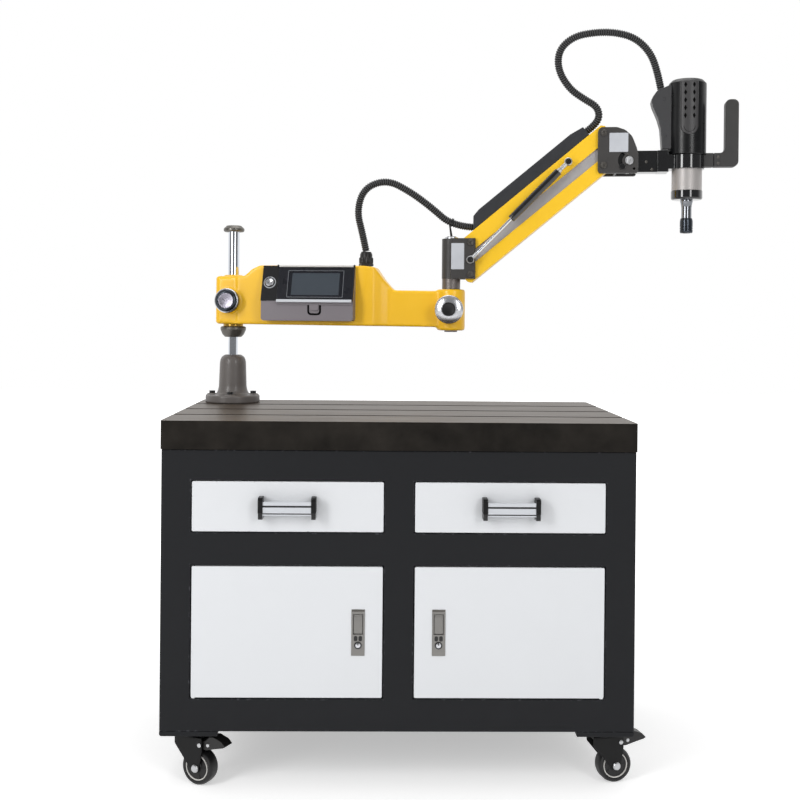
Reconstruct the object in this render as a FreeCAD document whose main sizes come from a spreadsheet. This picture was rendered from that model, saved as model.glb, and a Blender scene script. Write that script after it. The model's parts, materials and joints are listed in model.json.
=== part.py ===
import FreeCAD, Part

import math
import os
import re

import Sketcher

# Electric tapping arm on a rolling work bench. Millimetres. +Z is up, -Y is the front of the bench.
# The origin is the middle of the foot of the bounding box, on the floor.
#
# Every driving dimension is one row here and becomes one cell of the spreadsheet.
SIZES = [
    # bench
    ("table_width", 1000, "cast table, left to right"),
    ("table_depth", 600, "cast table, front to rear"),
    ("table_thickness", 60, "edge of the cast table"),
    ("table_skin", 34, "plate left above the pockets under the table"),
    ("table_rib", 40, "ribs and rim under the table"),
    ("slot_pitch", 150, "distance between T-slots"),
    ("slot_mouth", 14, "width of a T-slot at the top"),
    ("slot_mouth_depth", 14, "depth of the narrow part of a T-slot"),
    ("slot_head", 24, "width of a T-slot at its foot"),
    ("slot_head_depth", 10, "depth of the wide part of a T-slot"),
    ("cabinet_width", 996, "cabinet, left to right"),
    ("cabinet_depth", 592, "cabinet, front to rear"),
    ("stile", 63, "width of the upright members"),
    ("frame_depth", 40, "depth of the tube frame"),
    ("tube_wall", 3, "wall of the tubes of the frame"),
    ("top_rail", 65, "height of the rail under the table"),
    ("drawer_opening", 108, "height of a drawer opening"),
    ("mid_rail", 69, "height of the rail between drawer and door"),
    ("door_opening", 279, "height of a door opening"),
    ("bottom_rail", 69, "height of the lowest rail"),
    ("sheet_thickness", 2, "panels of the cabinet"),
    ("foot_width", 121, "corner pad over a caster"),
    ("foot_thickness", 10, "corner pad over a caster"),
    # casters
    ("caster_height", 117, "floor to the top of the caster plate"),
    ("caster_inset", 56, "swivel axis from the side of the cabinet"),
    ("caster_setback", 60, "swivel axis from the front of the cabinet"),
    ("plate_length", 96, "caster plate"),
    ("plate_width", 72, "caster plate"),
    ("plate_thickness", 4, "caster plate"),
    ("race_radius", 27, "ball race under the plate"),
    ("race_height", 10, "ball race under the plate"),
    ("crown_thickness", 5, "top of the fork"),
    ("wheel_radius", 37.5, "caster wheel"),
    ("wheel_width", 30, "caster wheel"),
    ("trail", 26, "wheel axle behind the swivel axis"),
    ("fork_gap", 34, "between the legs of a fork"),
    ("fork_plate", 3, "thickness of a leg"),
    ("axle_radius", 5, "wheel axle"),
    ("left_caster_turn", 26, "how far the front left caster is turned"),
    ("right_caster_turn", 13, "how far the front right caster is turned the other way"),
    ("pedal_x", 36, "brake pedal hinge behind the swivel axis"),
    ("pedal_z", 88, "brake pedal hinge above the floor"),
    ("pedal_width", 28, "brake pedal"),
    # drawers and doors
    ("drawer_gap", 1.5, "round a drawer front"),
    ("drawer_front", 15, "thickness of a drawer front"),
    ("drawer_length", 470, "tray behind the front"),
    ("tray_height", 80, "side of the tray"),
    ("tray_wall", 2, "sheet of the tray"),
    ("runner_space", 14, "each side of a tray, for its runner"),
    ("slider_width", 7.5, "rib on the tray that runs in the runner"),
    ("slider_height", 19.4, "rib on the tray that runs in the runner"),
    ("runner_height", 35, "fixed runner"),
    ("runner_length", 440, "fixed runner"),
    ("handle_length", 120, "drawer handle over its posts"),
    ("handle_post", 10, "width of a handle post"),
    ("handle_post_height", 45, "height of a handle post"),
    ("handle_bar_height", 29, "height of the handle bar"),
    ("handle_bar", 4, "thickness of the handle bar"),
    ("handle_reach", 30, "how far the handle stands out"),
    ("door_gap", 2, "round a door"),
    ("door_thickness", 16, "door with its folded edge"),
    ("door_skin", 1.5, "sheet of a door"),
    ("hinge_inset", 5, "hinge pin from the outer edge of a door"),
    ("hinge_setback", 4, "hinge pin behind the front of a door"),
    ("hinge_pin", 2, "radius of a hinge pin"),
    ("hinge_reach", 12, "hinge pin into door and rail"),
    ("latch_inset", 51, "middle of a latch from the inner edge of a door"),
    ("latch_width", 28, "latch face"),
    ("latch_height", 97, "latch face"),
    ("latch_flange", 1.5, "thickness of the latch face"),
    ("latch_depth", 12, "latch body behind the face"),
    ("paddle_width", 20, "pull of a latch"),
    ("paddle_height", 42, "pull of a latch"),
    ("paddle_thickness", 4, "pull of a latch"),
    ("latch_button", 7.5, "radius of the push button of a latch"),
    # column
    ("column_inset_x", 83, "column axis from the left edge of the table"),
    ("column_inset_y", 75, "column axis from the rear edge of the table"),
    ("flange_radius", 68.5, "foot of the column socket"),
    ("flange_thickness", 19, "foot of the column socket"),
    ("socket_height", 120, "column socket"),
    ("socket_radius", 33, "column socket near its top"),
    ("bolt_circle", 52, "radius of the circle of foot bolts"),
    ("foot_bolt", 5, "radius of a foot bolt"),
    ("foot_bolt_depth", 25, "foot bolt into the table"),
    ("lower_radius", 12, "lower part of the column"),
    ("column_radius", 14.2, "upper part of the column"),
    ("collar_low", 165, "foot of the stop collar above the table"),
    ("collar_high", 192, "top of the stop collar above the table"),
    ("cap_low", 432, "foot of the column cap above the table"),
    ("cap_height", 16, "column cap"),
    ("bush_wall", 3.75, "wall of the column bush"),
    ("bush_flange", 25, "radius of the flange of the bush"),
    ("bush_flange_height", 5.4, "flange of the bush"),
    # first arm
    ("arm_yaw", 8, "first arm turned towards the front"),
    ("arm1_reach", 555, "column axis to pivot axis"),
    ("casting_low", 198, "underside of the casting above the table"),
    ("casting_high", 346, "top of the casting above the table"),
    ("casting_half", 42, "half depth of the casting at the controls"),
    ("slim_half", 21, "half depth of the casting at the slim part"),
    ("slim_high", 285, "top of the slim part above the table"),
    ("head_high", 319, "top of the clamp head above the table"),
    ("head_width", 77, "clamp head"),
    ("boss_radius", 35, "pivot boss"),
    ("boss_low", 187, "foot of the pivot boss above the table"),
    ("boss_high", 289.4, "top of the pivot boss above the table"),
    ("knob_height", 256.4, "column clamp knob above the table"),
    ("knob_radius", 31, "column clamp knob"),
    ("arm2_knob_height", 239, "pivot clamp knob above the table"),
    ("arm2_knob_radius", 35, "pivot clamp knob"),
    ("knob_thickness", 26, "clamp knobs"),
    ("stud_radius", 6, "stud of a clamp knob"),
    ("box_left", 90, "control box from the column axis"),
    ("box_length", 231, "control box"),
    ("box_low", 208, "foot of the control box above the table"),
    ("box_high", 344, "top of the control box above the table"),
    ("box_depth", 36, "control box at its foot"),
    ("box_top_depth", 4, "control box at its top"),
    ("panel_low", 256, "lower edge of the sloping panel above the table"),
    ("box_wall", 3, "wall of the control box"),
    ("bezel_thickness", 3, "bezel on the sloping panel"),
    ("screen_right", 29, "touch screen from the right end of the box"),
    ("screen_height", 66, "touch screen"),
    ("screen_left", 67, "touch screen from the left end of the box"),
    ("screen_drop", 16, "touch screen below the top of the panel"),
    ("button_left", 20, "power button from the left end of the box"),
    ("button_drop", 46, "power button below the top of the panel"),
    ("button_radius", 10.5, "power button"),
    ("button_ring", 13.5, "ring round the power button"),
    ("cover_left", 41, "screen cover from the left end of the box"),
    ("cover_right", 3, "screen cover from the right end of the box"),
    ("cover_height", 94, "screen cover"),
    ("cover_thickness", 2.5, "screen cover"),
    ("tab_width", 33, "finger tab of the screen cover"),
    ("tab_height", 24, "finger tab of the screen cover"),
    ("gland_x", 340.8, "cable gland from the column axis"),
    ("gland_height", 36, "cable gland"),
    ("gland_radius", 18.5, "cable gland"),
    ("conduit_radius", 9.25, "corrugated conduit"),
    # pivot and second arm
    ("shaft_radius", 12, "pivot shaft"),
    ("spacer_radius", 22.5, "spacer under the pivot block"),
    ("block_low", 315, "foot of the pivot block above the table"),
    ("block_high", 414.5, "top of the pivot block above the table"),
    ("barrel_radius", 23.5, "rounded back of the pivot block"),
    ("cheek_half", 37, "half depth of the pivot block over its cheeks"),
    ("cheek_reach", 61.5, "pivot axis to the edge of the cheeks"),
    ("cheek_start", 2, "pivot axis to the start of the flat of the cheeks"),
    ("pin_offset", 50, "pivot axis to the link pins"),
    ("upper_pin_height", 404, "upper link pin above the table"),
    ("pin_spacing", 78, "upper link pin above lower link pin"),
    ("strut_pin_drop", 43, "strut pin below the upper link pin"),
    ("pin_radius", 6, "link pins"),
    ("pin_head", 8, "head of a link pin"),
    ("pin_head_height", 4.5, "head of a link pin"),
    ("link_length", 415, "link, pin to pin"),
    ("lift_angle", 39.7, "links above level"),
    ("link_half", 25, "half width of a link channel"),
    ("link_wall", 3, "wall of a link channel"),
    ("side_gap", 0.5, "link channel to the cheek beside it"),
    ("shield_half", 21, "half width of the shield between the links"),
    ("shield_wall", 2, "wall of the shield"),
    ("cover_half", 19, "half width of the cable cover"),
    ("cover_wall", 2.5, "wall of the cable cover"),
    ("strut_side", 46, "struts from the middle of the arm"),
    ("strut_upper", 305, "upper strut pin along the link"),
    ("strut_radius", 9.5, "strut cylinder"),
    ("rod_radius", 4, "strut rod and strut pins"),
    ("strut_neck", 33, "strut cylinder from its pin"),
    ("strut_cylinder", 162, "length of a strut cylinder"),
    ("rod_hidden", 94, "length of rod inside the cylinder"),
    ("eye_radius", 9.5, "strut eyes"),
    ("eye_width", 8, "strut eyes"),
    ("open_eye", 7.3, "bore of the lower strut eye, wide because its pivot is left open"),
    # end block and tilt bracket
    ("end_half", 36, "half depth of the end block"),
    ("end_left", 14, "end block left of its pins"),
    ("end_right", 82.3, "end block right of its pins"),
    ("end_top", 14, "end block above its upper pin"),
    ("end_foot", 97.5, "end block below its upper pin"),
    ("web_left", 25.5, "web of the end block right of its pins"),
    ("web", 6, "thickness of the web"),
    ("tongue_half", 19.5, "half width of the tilt bracket"),
    ("tongue_radius", 27, "round end of the tilt bracket"),
    ("tilt_x", 60.5, "tilt pin right of the link pins"),
    ("tilt_drop", 67.5, "tilt pin below the upper link pin"),
    ("arc_radius", 21.5, "arc slot round the tilt pin"),
    ("arc_half", 5, "half width of the arc slot"),
    ("arc_low", 223, "angle of the lower end of the arc slot"),
    ("arc_sweep", 88, "angle that the arc slot spans"),
    ("lock_radius", 4, "tilt lock screw"),
    ("bracket_half", 26, "half height of the tilt bracket"),
    ("bracket_reach", 67.8, "tilt pin to the end of the tilt bracket"),
    # tapping head
    ("head_reach", 201, "link pins to spindle axis"),
    ("body_radius", 45, "motor housing"),
    ("body_top", 197.4, "top of the motor housing above the tilt pin"),
    ("body_wall", 3, "motor housing"),
    ("body_chamfer", 9, "top edge of the motor housing"),
    ("clamp_radius", 41, "clamp ring"),
    ("clamp_high", 15, "top of the clamp ring above the tilt pin"),
    ("clamp_low", 19, "foot of the clamp ring below the tilt pin"),
    ("gear_radius", 35.8, "gearbox"),
    ("gear_low", 70.8, "foot of the gearbox below the tilt pin"),
    ("gear_high", 40, "top of the gearbox above the tilt pin"),
    ("motor_radius", 38, "motor in the housing"),
    ("motor_length", 120, "motor in the housing"),
    ("nose_radius", 37.5, "nose ring"),
    ("nose_low", 92.2, "foot of the nose ring below the tilt pin"),
    ("vent_half", 21, "half width of the vent panel"),
    ("vent_low", 61, "foot of the vent panel above the tilt pin"),
    ("vent_high", 192, "top of the vent panel above the tilt pin"),
    ("vent_thickness", 1.2, "vent panel on the housing"),
    ("spindle_radius", 12.2, "spindle under the nose ring"),
    ("spindle_low", 172.5, "foot of the spindle below the tilt pin"),
    ("adapter_bore", 9.5, "radius of the bore for a tap adapter"),
    ("adapter_depth", 30.5, "bore for a tap adapter"),
    ("sleeve_radius", 15.6, "knurled chuck sleeve"),
    ("sleeve_length", 36, "knurled chuck sleeve"),
    ("sleeve_travel", 4, "chuck sleeve lifts"),
    ("cable_box_half", 20, "half depth of the cable box"),
    ("grip_half", 14, "half depth of the head handle"),
    ("grip_split", 61.5, "spindle axis to the split of the handle"),
    ("grip_left", 88.3, "spindle axis to the grip"),
    ("grip_right", 119.7, "spindle axis to the outside of the grip"),
    ("grip_low", 13, "foot of the handle below the tilt pin"),
    ("grip_bar", 20, "top of the handle bar above the tilt pin"),
    ("grip_top", 149, "top of the grip above the tilt pin"),
    # clearances
    ("running", 0.05, "radial clearance of a running fit"),
    ("play", 0.3, "gap between pieces that move past each other"),
]

DOCUMENT = FreeCAD.newDocument("arm_tapping_machine")
SHEET = DOCUMENT.addObject("Spreadsheet::Sheet", "Sizes")
ALIASES = {alias for alias, value, note in SIZES}
SUBPARTS = []

# Lengths that follow from the driving dimensions, as expressions.
OPENING_WIDTH = "((cabinet_width - 3 * stile) / 2)"
OPENING_X = "((stile + (cabinet_width - 3 * stile) / 2) / 2)"
CABINET_LOW = "(caster_height + foot_thickness)"
DOOR_LOW = f"({CABINET_LOW} + bottom_rail)"
SHELF = f"({DOOR_LOW} + door_opening)"
DRAWER_LOW = f"({SHELF} + mid_rail)"
RAIL_LOW = f"({DRAWER_LOW} + drawer_opening)"
CABINET_TOP = f"({RAIL_LOW} + top_rail)"
CABINET_HEIGHT = f"({CABINET_TOP} - {CABINET_LOW})"
TABLE_TOP = f"({CABINET_TOP} + table_thickness)"
COLUMN_X = "(column_inset_x - table_width / 2)"
COLUMN_Y = "(table_depth / 2 - column_inset_y)"
PIN_X = "(arm1_reach + pin_offset)"
HANDLE_OUT = f"({PIN_X} + link_length * cos(lift_angle) + head_reach + grip_right)"
RIGHT_EDGE = f"({COLUMN_X} + {HANDLE_OUT} * cos(arm_yaw) + grip_half * sin(arm_yaw))"
BENCH_X = f"((table_width / 2 - {RIGHT_EDGE}) / 2)"
BENCH_Y = "((cabinet_depth / 2 + handle_reach - table_depth / 2) / 2)"
PANEL_TILT = "atan((box_depth - box_top_depth) / (box_high - panel_low))"
PANEL_SLOPE = "sqrt(pow(box_depth - box_top_depth; 2) + pow(box_high - panel_low; 2))"
SCREEN_WIDTH = "(box_length - screen_left - screen_right)"
COVER_LENGTH = "(box_length - cover_left - cover_right)"
STRUT_DX = "(strut_upper * cos(lift_angle))"
STRUT_DZ = "(strut_upper * sin(lift_angle) + strut_pin_drop)"
STRUT_LENGTH = f"sqrt(pow({STRUT_DX}; 2) + pow({STRUT_DZ}; 2))"


def fill_sheet():
    """One row of the sheet for each driving dimension: its name, its value and what it is."""
    for row, (alias, value, note) in enumerate(SIZES, start=1):
        SHEET.set(f"A{row}", alias)
        SHEET.set(f"B{row}", str(value))
        SHEET.set(f"C{row}", note)
        SHEET.setAlias(f"B{row}", alias)
    DOCUMENT.recompute()


def size(alias):
    return float(SHEET.get(alias))


def bound(text):
    """An expression in which the name of each size stands for its cell."""
    return re.sub(r"[a-z_][a-z0-9_]*",
                  lambda word: f"Sizes.{word.group()}" if word.group() in ALIASES else word.group(),
                  str(text))


def bind(item, **expressions):
    for name, text in expressions.items():
        item.setExpression(name.replace("__", "."), bound(text))


def at(x=0, y=0, z=0, yaw=0, pitch=0, roll=0):
    """A placement, as an expression. Placements are chained with " * "."""
    return f"placement(vector({x}; {y}; {z}); rotation({yaw}; {pitch}; {roll}))"


def chain(*places):
    return " * ".join(places)


BENCH = at(BENCH_X, BENCH_Y)
ARM = chain(BENCH, at(COLUMN_X, COLUMN_Y, TABLE_TOP, yaw="-arm_yaw"))
PIVOT = chain(ARM, at("arm1_reach"))
PANEL = chain(ARM, at("box_left", "-casting_half - box_top_depth", "box_high", roll=f"-{PANEL_TILT}"))
UPPER = chain(ARM, at(PIN_X, 0, "upper_pin_height", pitch="-lift_angle"))
LOWER = chain(ARM, at(PIN_X, 0, "upper_pin_height - pin_spacing", pitch="-lift_angle"))
STRUT = chain(UPPER, at("strut_upper", pitch="180 + lift_angle"),
              at(pitch=f"-atan({STRUT_DZ} / {STRUT_DX})"))
END = chain(UPPER, at("link_length"), at(pitch="lift_angle"))
TILT = chain(END, at("tilt_x", 0, "-tilt_drop"))
HEAD = chain(END, at("head_reach", 0, "-tilt_drop"))


def place(item, where):
    if where:
        bind(item, Placement=where)
    return item


def span(side, near, far):
    """The range from near to far, or its mirror image, lower end first."""
    return (f"{near}", f"{far}") if side > 0 else (f"-({far})", f"-({near})")


def box(low, high, where=None):
    """A block between two corners."""
    item = DOCUMENT.addObject("Part::Box", "Block")
    bind(item, Length=f"({high[0]}) - ({low[0]})", Width=f"({high[1]}) - ({low[1]})",
         Height=f"({high[2]}) - ({low[2]})")
    return place(item, chain(where, at(*low)) if where else at(*low))


def tube(low, high, axis):
    """A square tube between two corners, open at both ends."""
    inner_low = [f"({text}) {'- 1' if name == axis else '+ tube_wall'}" for name, text in zip("xyz", low)]
    inner_high = [f"({text}) {'+ 1' if name == axis else '- tube_wall'}" for name, text in zip("xyz", high)]
    return cut(box(low, high), box(inner_low, inner_high))


def rod(radius, start, length, axis="z", where=None):
    """A round bar from a point, along x, y or z."""
    item = DOCUMENT.addObject("Part::Cylinder", "Round")
    bind(item, Radius=radius, Height=length)
    turn = {"x": at(pitch=90), "y": at(roll=-90), "z": at()}[axis]
    steps = [where] if where else []
    return place(item, chain(*steps, at(*start), turn))


def across(radius, x, z, half, where=None):
    """A round bar along y, as long on one side of the middle as on the other."""
    return rod(radius, (x, f"-({half})", z), f"2 * ({half})", "y", where)


def sketch_outline(body, plane, points):
    """A closed outline on one of the body's own planes, each corner bound to its two coordinates."""
    sketch = body.newObject("Sketcher::SketchObject", "Outline")
    sketch.AttachmentSupport = [(next(f for f in body.Origin.OriginFeatures if f.Role == plane), "")]
    sketch.MapMode = "FlatFace"
    count = len(points)
    corners = [FreeCAD.Vector(math.cos(2 * math.pi * i / count), math.sin(2 * math.pi * i / count), 0)
               for i in range(count)]
    for i in range(count):
        sketch.addGeometry(Part.LineSegment(corners[i], corners[(i + 1) % count]))
    for i in range(count):
        sketch.addConstraint(Sketcher.Constraint("Coincident", i, 2, (i + 1) % count, 1))
    for i, (u, v) in enumerate(points):
        for direction, text in (("DistanceX", u), ("DistanceY", v)):
            value = getattr(corners[i], "x" if direction == "DistanceX" else "y")
            number = sketch.addConstraint(Sketcher.Constraint(direction, -1, 1, i, 1, value))
            sketch.setExpression(f"Constraints[{number}]", bound(text))
    return sketch


def plate(outline, half, where=None):
    """An outline in x and z, as thick on one side of y = 0 as on the other."""
    body = DOCUMENT.addObject("PartDesign::Body", "Plate")
    pad = body.newObject("PartDesign::Pad", "Thickness")
    pad.Profile = sketch_outline(body, "XZ_Plane", outline)
    pad.Midplane = True
    bind(pad, Length=f"2 * ({half})")
    return place(body, where)


def slab(outline, height, where=None):
    """An outline in x and y, with a height along z."""
    body = DOCUMENT.addObject("PartDesign::Body", "Slab")
    pad = body.newObject("PartDesign::Pad", "Height")
    pad.Profile = sketch_outline(body, "XY_Plane", outline)
    bind(pad, Length=height)
    return place(body, where)


def turned(profile, where=None):
    """A profile of radius and height, turned about z."""
    body = DOCUMENT.addObject("PartDesign::Body", "Turned")
    revolution = body.newObject("PartDesign::Revolution", "Revolution")
    sketch = sketch_outline(body, "XZ_Plane", profile)
    revolution.Profile = sketch
    revolution.ReferenceAxis = (sketch, ["V_Axis"])
    revolution.Angle = 360
    return place(body, where)


def ring(inner, outer, low, high, where=None):
    return turned([(inner, low), (outer, low), (outer, high), (inner, high)], where)


def fuse(*items, where=None):
    item = DOCUMENT.addObject("Part::MultiFuse", "Fusion")
    item.Shapes = list(items)
    item.Refine = True
    return place(item, where)


def cut(base, *tools, where=None):
    item = DOCUMENT.addObject("Part::Cut", "Cut")
    item.Base = base
    item.Tool = tools[0] if len(tools) == 1 else fuse(*tools)
    item.Refine = True
    return place(item, where)


def common(base, tool, where=None):
    item = DOCUMENT.addObject("Part::Common", "Common")
    item.Base = base
    item.Tool = tool
    return place(item, where)


def group(*items, where=None):
    """Separate solids in one sub-part."""
    item = DOCUMENT.addObject("Part::Compound", "Group")
    item.Links = list(items)
    return place(item, where)


def rounded(source, radius, wanted):
    """The source with those edges rounded that wanted() picks."""
    DOCUMENT.recompute()
    item = DOCUMENT.addObject("Part::Fillet", "Rounded")
    item.Base = source
    item.Edges = [(number, radius, radius)
                  for number, edge in enumerate(source.Shape.Edges, start=1) if wanted(edge)]
    return item


def upright(edge):
    """Is the edge straight and parallel to z?"""
    if edge.Curve.TypeId != "Part::GeomLine":
        return False
    first, last = (vertex.Point for vertex in edge.Vertexes)
    return math.hypot(first.x - last.x, first.y - last.y) < 1e-6


def subpart(label, item):
    item.Label = label
    SUBPARTS.append(item)
    return item


# ---------------------------------------------------------------- bench


def foot_bolt_places():
    return [("bolt_circle", 0), ("-bolt_circle", 0), (0, "bolt_circle"), (0, "-bolt_circle")]


def make_table():
    """Cast plate with three T-slots along x, a rim and ribs underneath, and four tapped holes."""
    half_x, half_y = "table_width / 2", "table_depth / 2"
    body = box((f"-{half_x}", f"-{half_y}", CABINET_TOP), (half_x, half_y, TABLE_TOP))
    tools = []
    for row in (-1, 0, 1):
        y = f"{row} * slot_pitch"
        neck_low = f"{TABLE_TOP} - slot_mouth_depth"
        tools.append(box((f"-{half_x} - 1", f"{y} - slot_mouth / 2", neck_low),
                         (f"{half_x} + 1", f"{y} + slot_mouth / 2", f"{TABLE_TOP} + 1")))
        tools.append(box((f"-{half_x} - 1", f"{y} - slot_head / 2", f"{neck_low} - slot_head_depth"),
                         (f"{half_x} + 1", f"{y} + slot_head / 2", neck_low)))
    for side_x in (-1, 1):
        for side_y in (-1, 1):
            xs = span(side_x, "table_rib / 2", f"{half_x} - table_rib")
            ys = span(side_y, "table_rib / 2", f"{half_y} - table_rib")
            tools.append(box((xs[0], ys[0], f"{CABINET_TOP} - 1"),
                             (xs[1], ys[1], f"{TABLE_TOP} - table_skin")))
    for x, y in foot_bolt_places():
        tools.append(rod("foot_bolt", (f"{COLUMN_X} + {x}", f"{COLUMN_Y} + {y}",
                                       f"{TABLE_TOP} - foot_bolt_depth - 3"), "foot_bolt_depth + 4"))
    subpart("table_top", cut(body, *tools, where=BENCH))


def make_cabinet():
    """Welded tubes, then the sheet panels, then the drawer runners."""
    front, rear = "-cabinet_depth / 2", "cabinet_depth / 2"
    inner = "(cabinet_width / 2 - stile)"
    front_back = f"{front} + frame_depth"
    rear_front = f"{rear} - frame_depth"
    members = []
    for side in (-1, 1):
        post_x = span(side, inner, "cabinet_width / 2")
        rail_x = span(side, "stile / 2", inner)
        members.append(tube((post_x[0], front, CABINET_LOW), (post_x[1], front_back, CABINET_TOP), "z"))
        members.append(tube((post_x[0], rear_front, CABINET_LOW), (post_x[1], rear, CABINET_TOP), "z"))
        for low_z, height in ((RAIL_LOW, "top_rail"), (SHELF, "mid_rail"), (CABINET_LOW, "bottom_rail")):
            rail = tube((rail_x[0], front, low_z), (rail_x[1], front_back, f"{low_z} + {height}"), "x")
            if height == "top_rail":
                members.append(rail)
                continue
            pin_x = f"{side} * ({OPENING_X} + {OPENING_WIDTH} / 2 - door_gap - hinge_inset)"
            pin_z = DOOR_LOW if height == "bottom_rail" else SHELF
            seat = rod("hinge_pin", (pin_x, f"{front} + hinge_setback", f"{pin_z} - hinge_reach"),
                       "2 * hinge_reach")
            members.append(cut(rail, seat))
            members.append(rod("hinge_pin", (pin_x, f"{front} + hinge_setback", f"{pin_z} - hinge_reach"),
                               "2 * hinge_reach"))
    members.append(tube(("-stile / 2", front, CABINET_LOW), ("stile / 2", front_back, CABINET_TOP), "z"))
    for low_z, height in ((RAIL_LOW, "top_rail"), (CABINET_LOW, "bottom_rail")):
        members.append(tube((f"-{inner}", rear_front, low_z),
                            (inner, f"{rear} - sheet_thickness", f"{low_z} + {height}"), "x"))
    for side_x in (-1, 1):
        for side_y in (-1, 1):
            xs = span(side_x, "cabinet_width / 2 - foot_width", "cabinet_width / 2")
            ys = span(side_y, "cabinet_depth / 2 - foot_width", "cabinet_depth / 2")
            members.append(box((xs[0], ys[0], "caster_height"), (xs[1], ys[1], CABINET_LOW)))
    subpart("cabinet_frame", group(*members, where=BENCH))

    wall, half_wall = "sheet_thickness", "sheet_thickness / 2"
    side_x = "cabinet_width / 2"
    floor_low = f"{DOOR_LOW} - {wall}"
    deck_high = f"{SHELF} + {wall}"
    panels = [
        box((f"-{side_x}", front_back, CABINET_LOW), (f"-{side_x} + {wall}", rear_front, CABINET_TOP)),
        box((f"{side_x} - {wall}", front_back, CABINET_LOW), (side_x, rear_front, CABINET_TOP)),
        box((f"-{inner}", f"{rear} - {wall}", CABINET_LOW), (inner, rear, CABINET_TOP)),
        box((f"-{side_x} + {wall}", front_back, floor_low), (f"{side_x} - {wall}", rear_front, DOOR_LOW)),
        box((f"-{side_x} + {wall}", front_back, SHELF), (f"{side_x} - {wall}", rear_front, deck_high)),
        box((f"-{half_wall}", front_back, DOOR_LOW), (half_wall, rear_front, SHELF)),
        box((f"-{half_wall}", front_back, deck_high), (half_wall, rear_front, CABINET_TOP)),
    ]
    subpart("cabinet_panels", group(*panels, where=BENCH))

    runners = []
    overlap = "stile / 6"
    groove_low = f"{DRAWER_LOW} + tray_height / 2 + 8 - slider_height / 2 - play"
    runner_low = f"{DRAWER_LOW} + tray_height / 2 + 8 - runner_height / 2"
    for side in (-1, 1):
        for hand in (-1, 1):
            middle = f"{side} * {OPENING_X}"
            inner_x = f"{OPENING_WIDTH} / 2 - runner_space + play"
            body_x = span(hand, inner_x, f"{OPENING_WIDTH} / 2 + {overlap}")
            cut_x = span(hand, f"{inner_x} - 1",
                         f"{OPENING_WIDTH} / 2 - runner_space + slider_width + 3 * play")
            body = box((f"{middle} + {body_x[0]}", front_back, runner_low),
                       (f"{middle} + {body_x[1]}", f"{front_back} + runner_length",
                        f"{runner_low} + runner_height"))
            groove = box((f"{middle} + {cut_x[0]}", f"{front_back} - 1", groove_low),
                         (f"{middle} + {cut_x[1]}", f"{front_back} + runner_length + 1",
                          f"{groove_low} + slider_height + 2 * play"))
            runners.append(cut(body, groove))
    subpart("drawer_runners", group(*runners, where=BENCH))


def make_drawer(name, side):
    """Tray with its front and runner ribs, and the handle: two posts and a bar."""
    where = chain(BENCH, at(f"{side} * {OPENING_X}", "-cabinet_depth / 2", DRAWER_LOW))
    front_x = f"({OPENING_WIDTH} / 2 - drawer_gap)"
    tray_x = f"({OPENING_WIDTH} / 2 - runner_space)"
    tray_end = "drawer_front + drawer_length"
    tray_low, tray_high = "8", "8 + tray_height"
    pieces = [
        box((f"-{front_x}", 0, "drawer_gap"), (front_x, "drawer_front", "drawer_opening - drawer_gap")),
        box((f"-{tray_x}", "drawer_front", tray_low), (tray_x, tray_end, tray_high)),
    ]
    rib_low = "8 + tray_height / 2 - slider_height / 2"
    for hand in (-1, 1):
        xs = span(hand, tray_x, f"{tray_x} + slider_width")
        pieces.append(box((xs[0], "frame_depth + 2", rib_low),
                          (xs[1], tray_end, f"{rib_low} + slider_height")))
    hollow = box((f"-{tray_x} + tray_wall", "drawer_front + tray_wall", f"{tray_low} + tray_wall"),
                 (f"{tray_x} - tray_wall", f"{tray_end} - tray_wall", f"{tray_high} + 1"))
    subpart(f"{name}_drawer", cut(fuse(*pieces), hollow, where=where))

    middle = "drawer_opening / 2"
    half = "handle_length / 2"
    posts = [box((low, "-handle_reach", f"{middle} - handle_post_height / 2"),
                 (f"{low} + handle_post", 0, f"{middle} + handle_post_height / 2"))
             for low in (f"-{half}", f"{half} - handle_post")]
    bar = box((f"-{half} + handle_post", "-handle_reach + 2", f"{middle} - handle_bar_height / 2"),
              (f"{half} - handle_post", "-handle_reach + 2 + handle_bar",
               f"{middle} + handle_bar_height / 2"))
    subpart(f"{name}_drawer_handle", group(*posts, bar, where=where))


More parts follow.
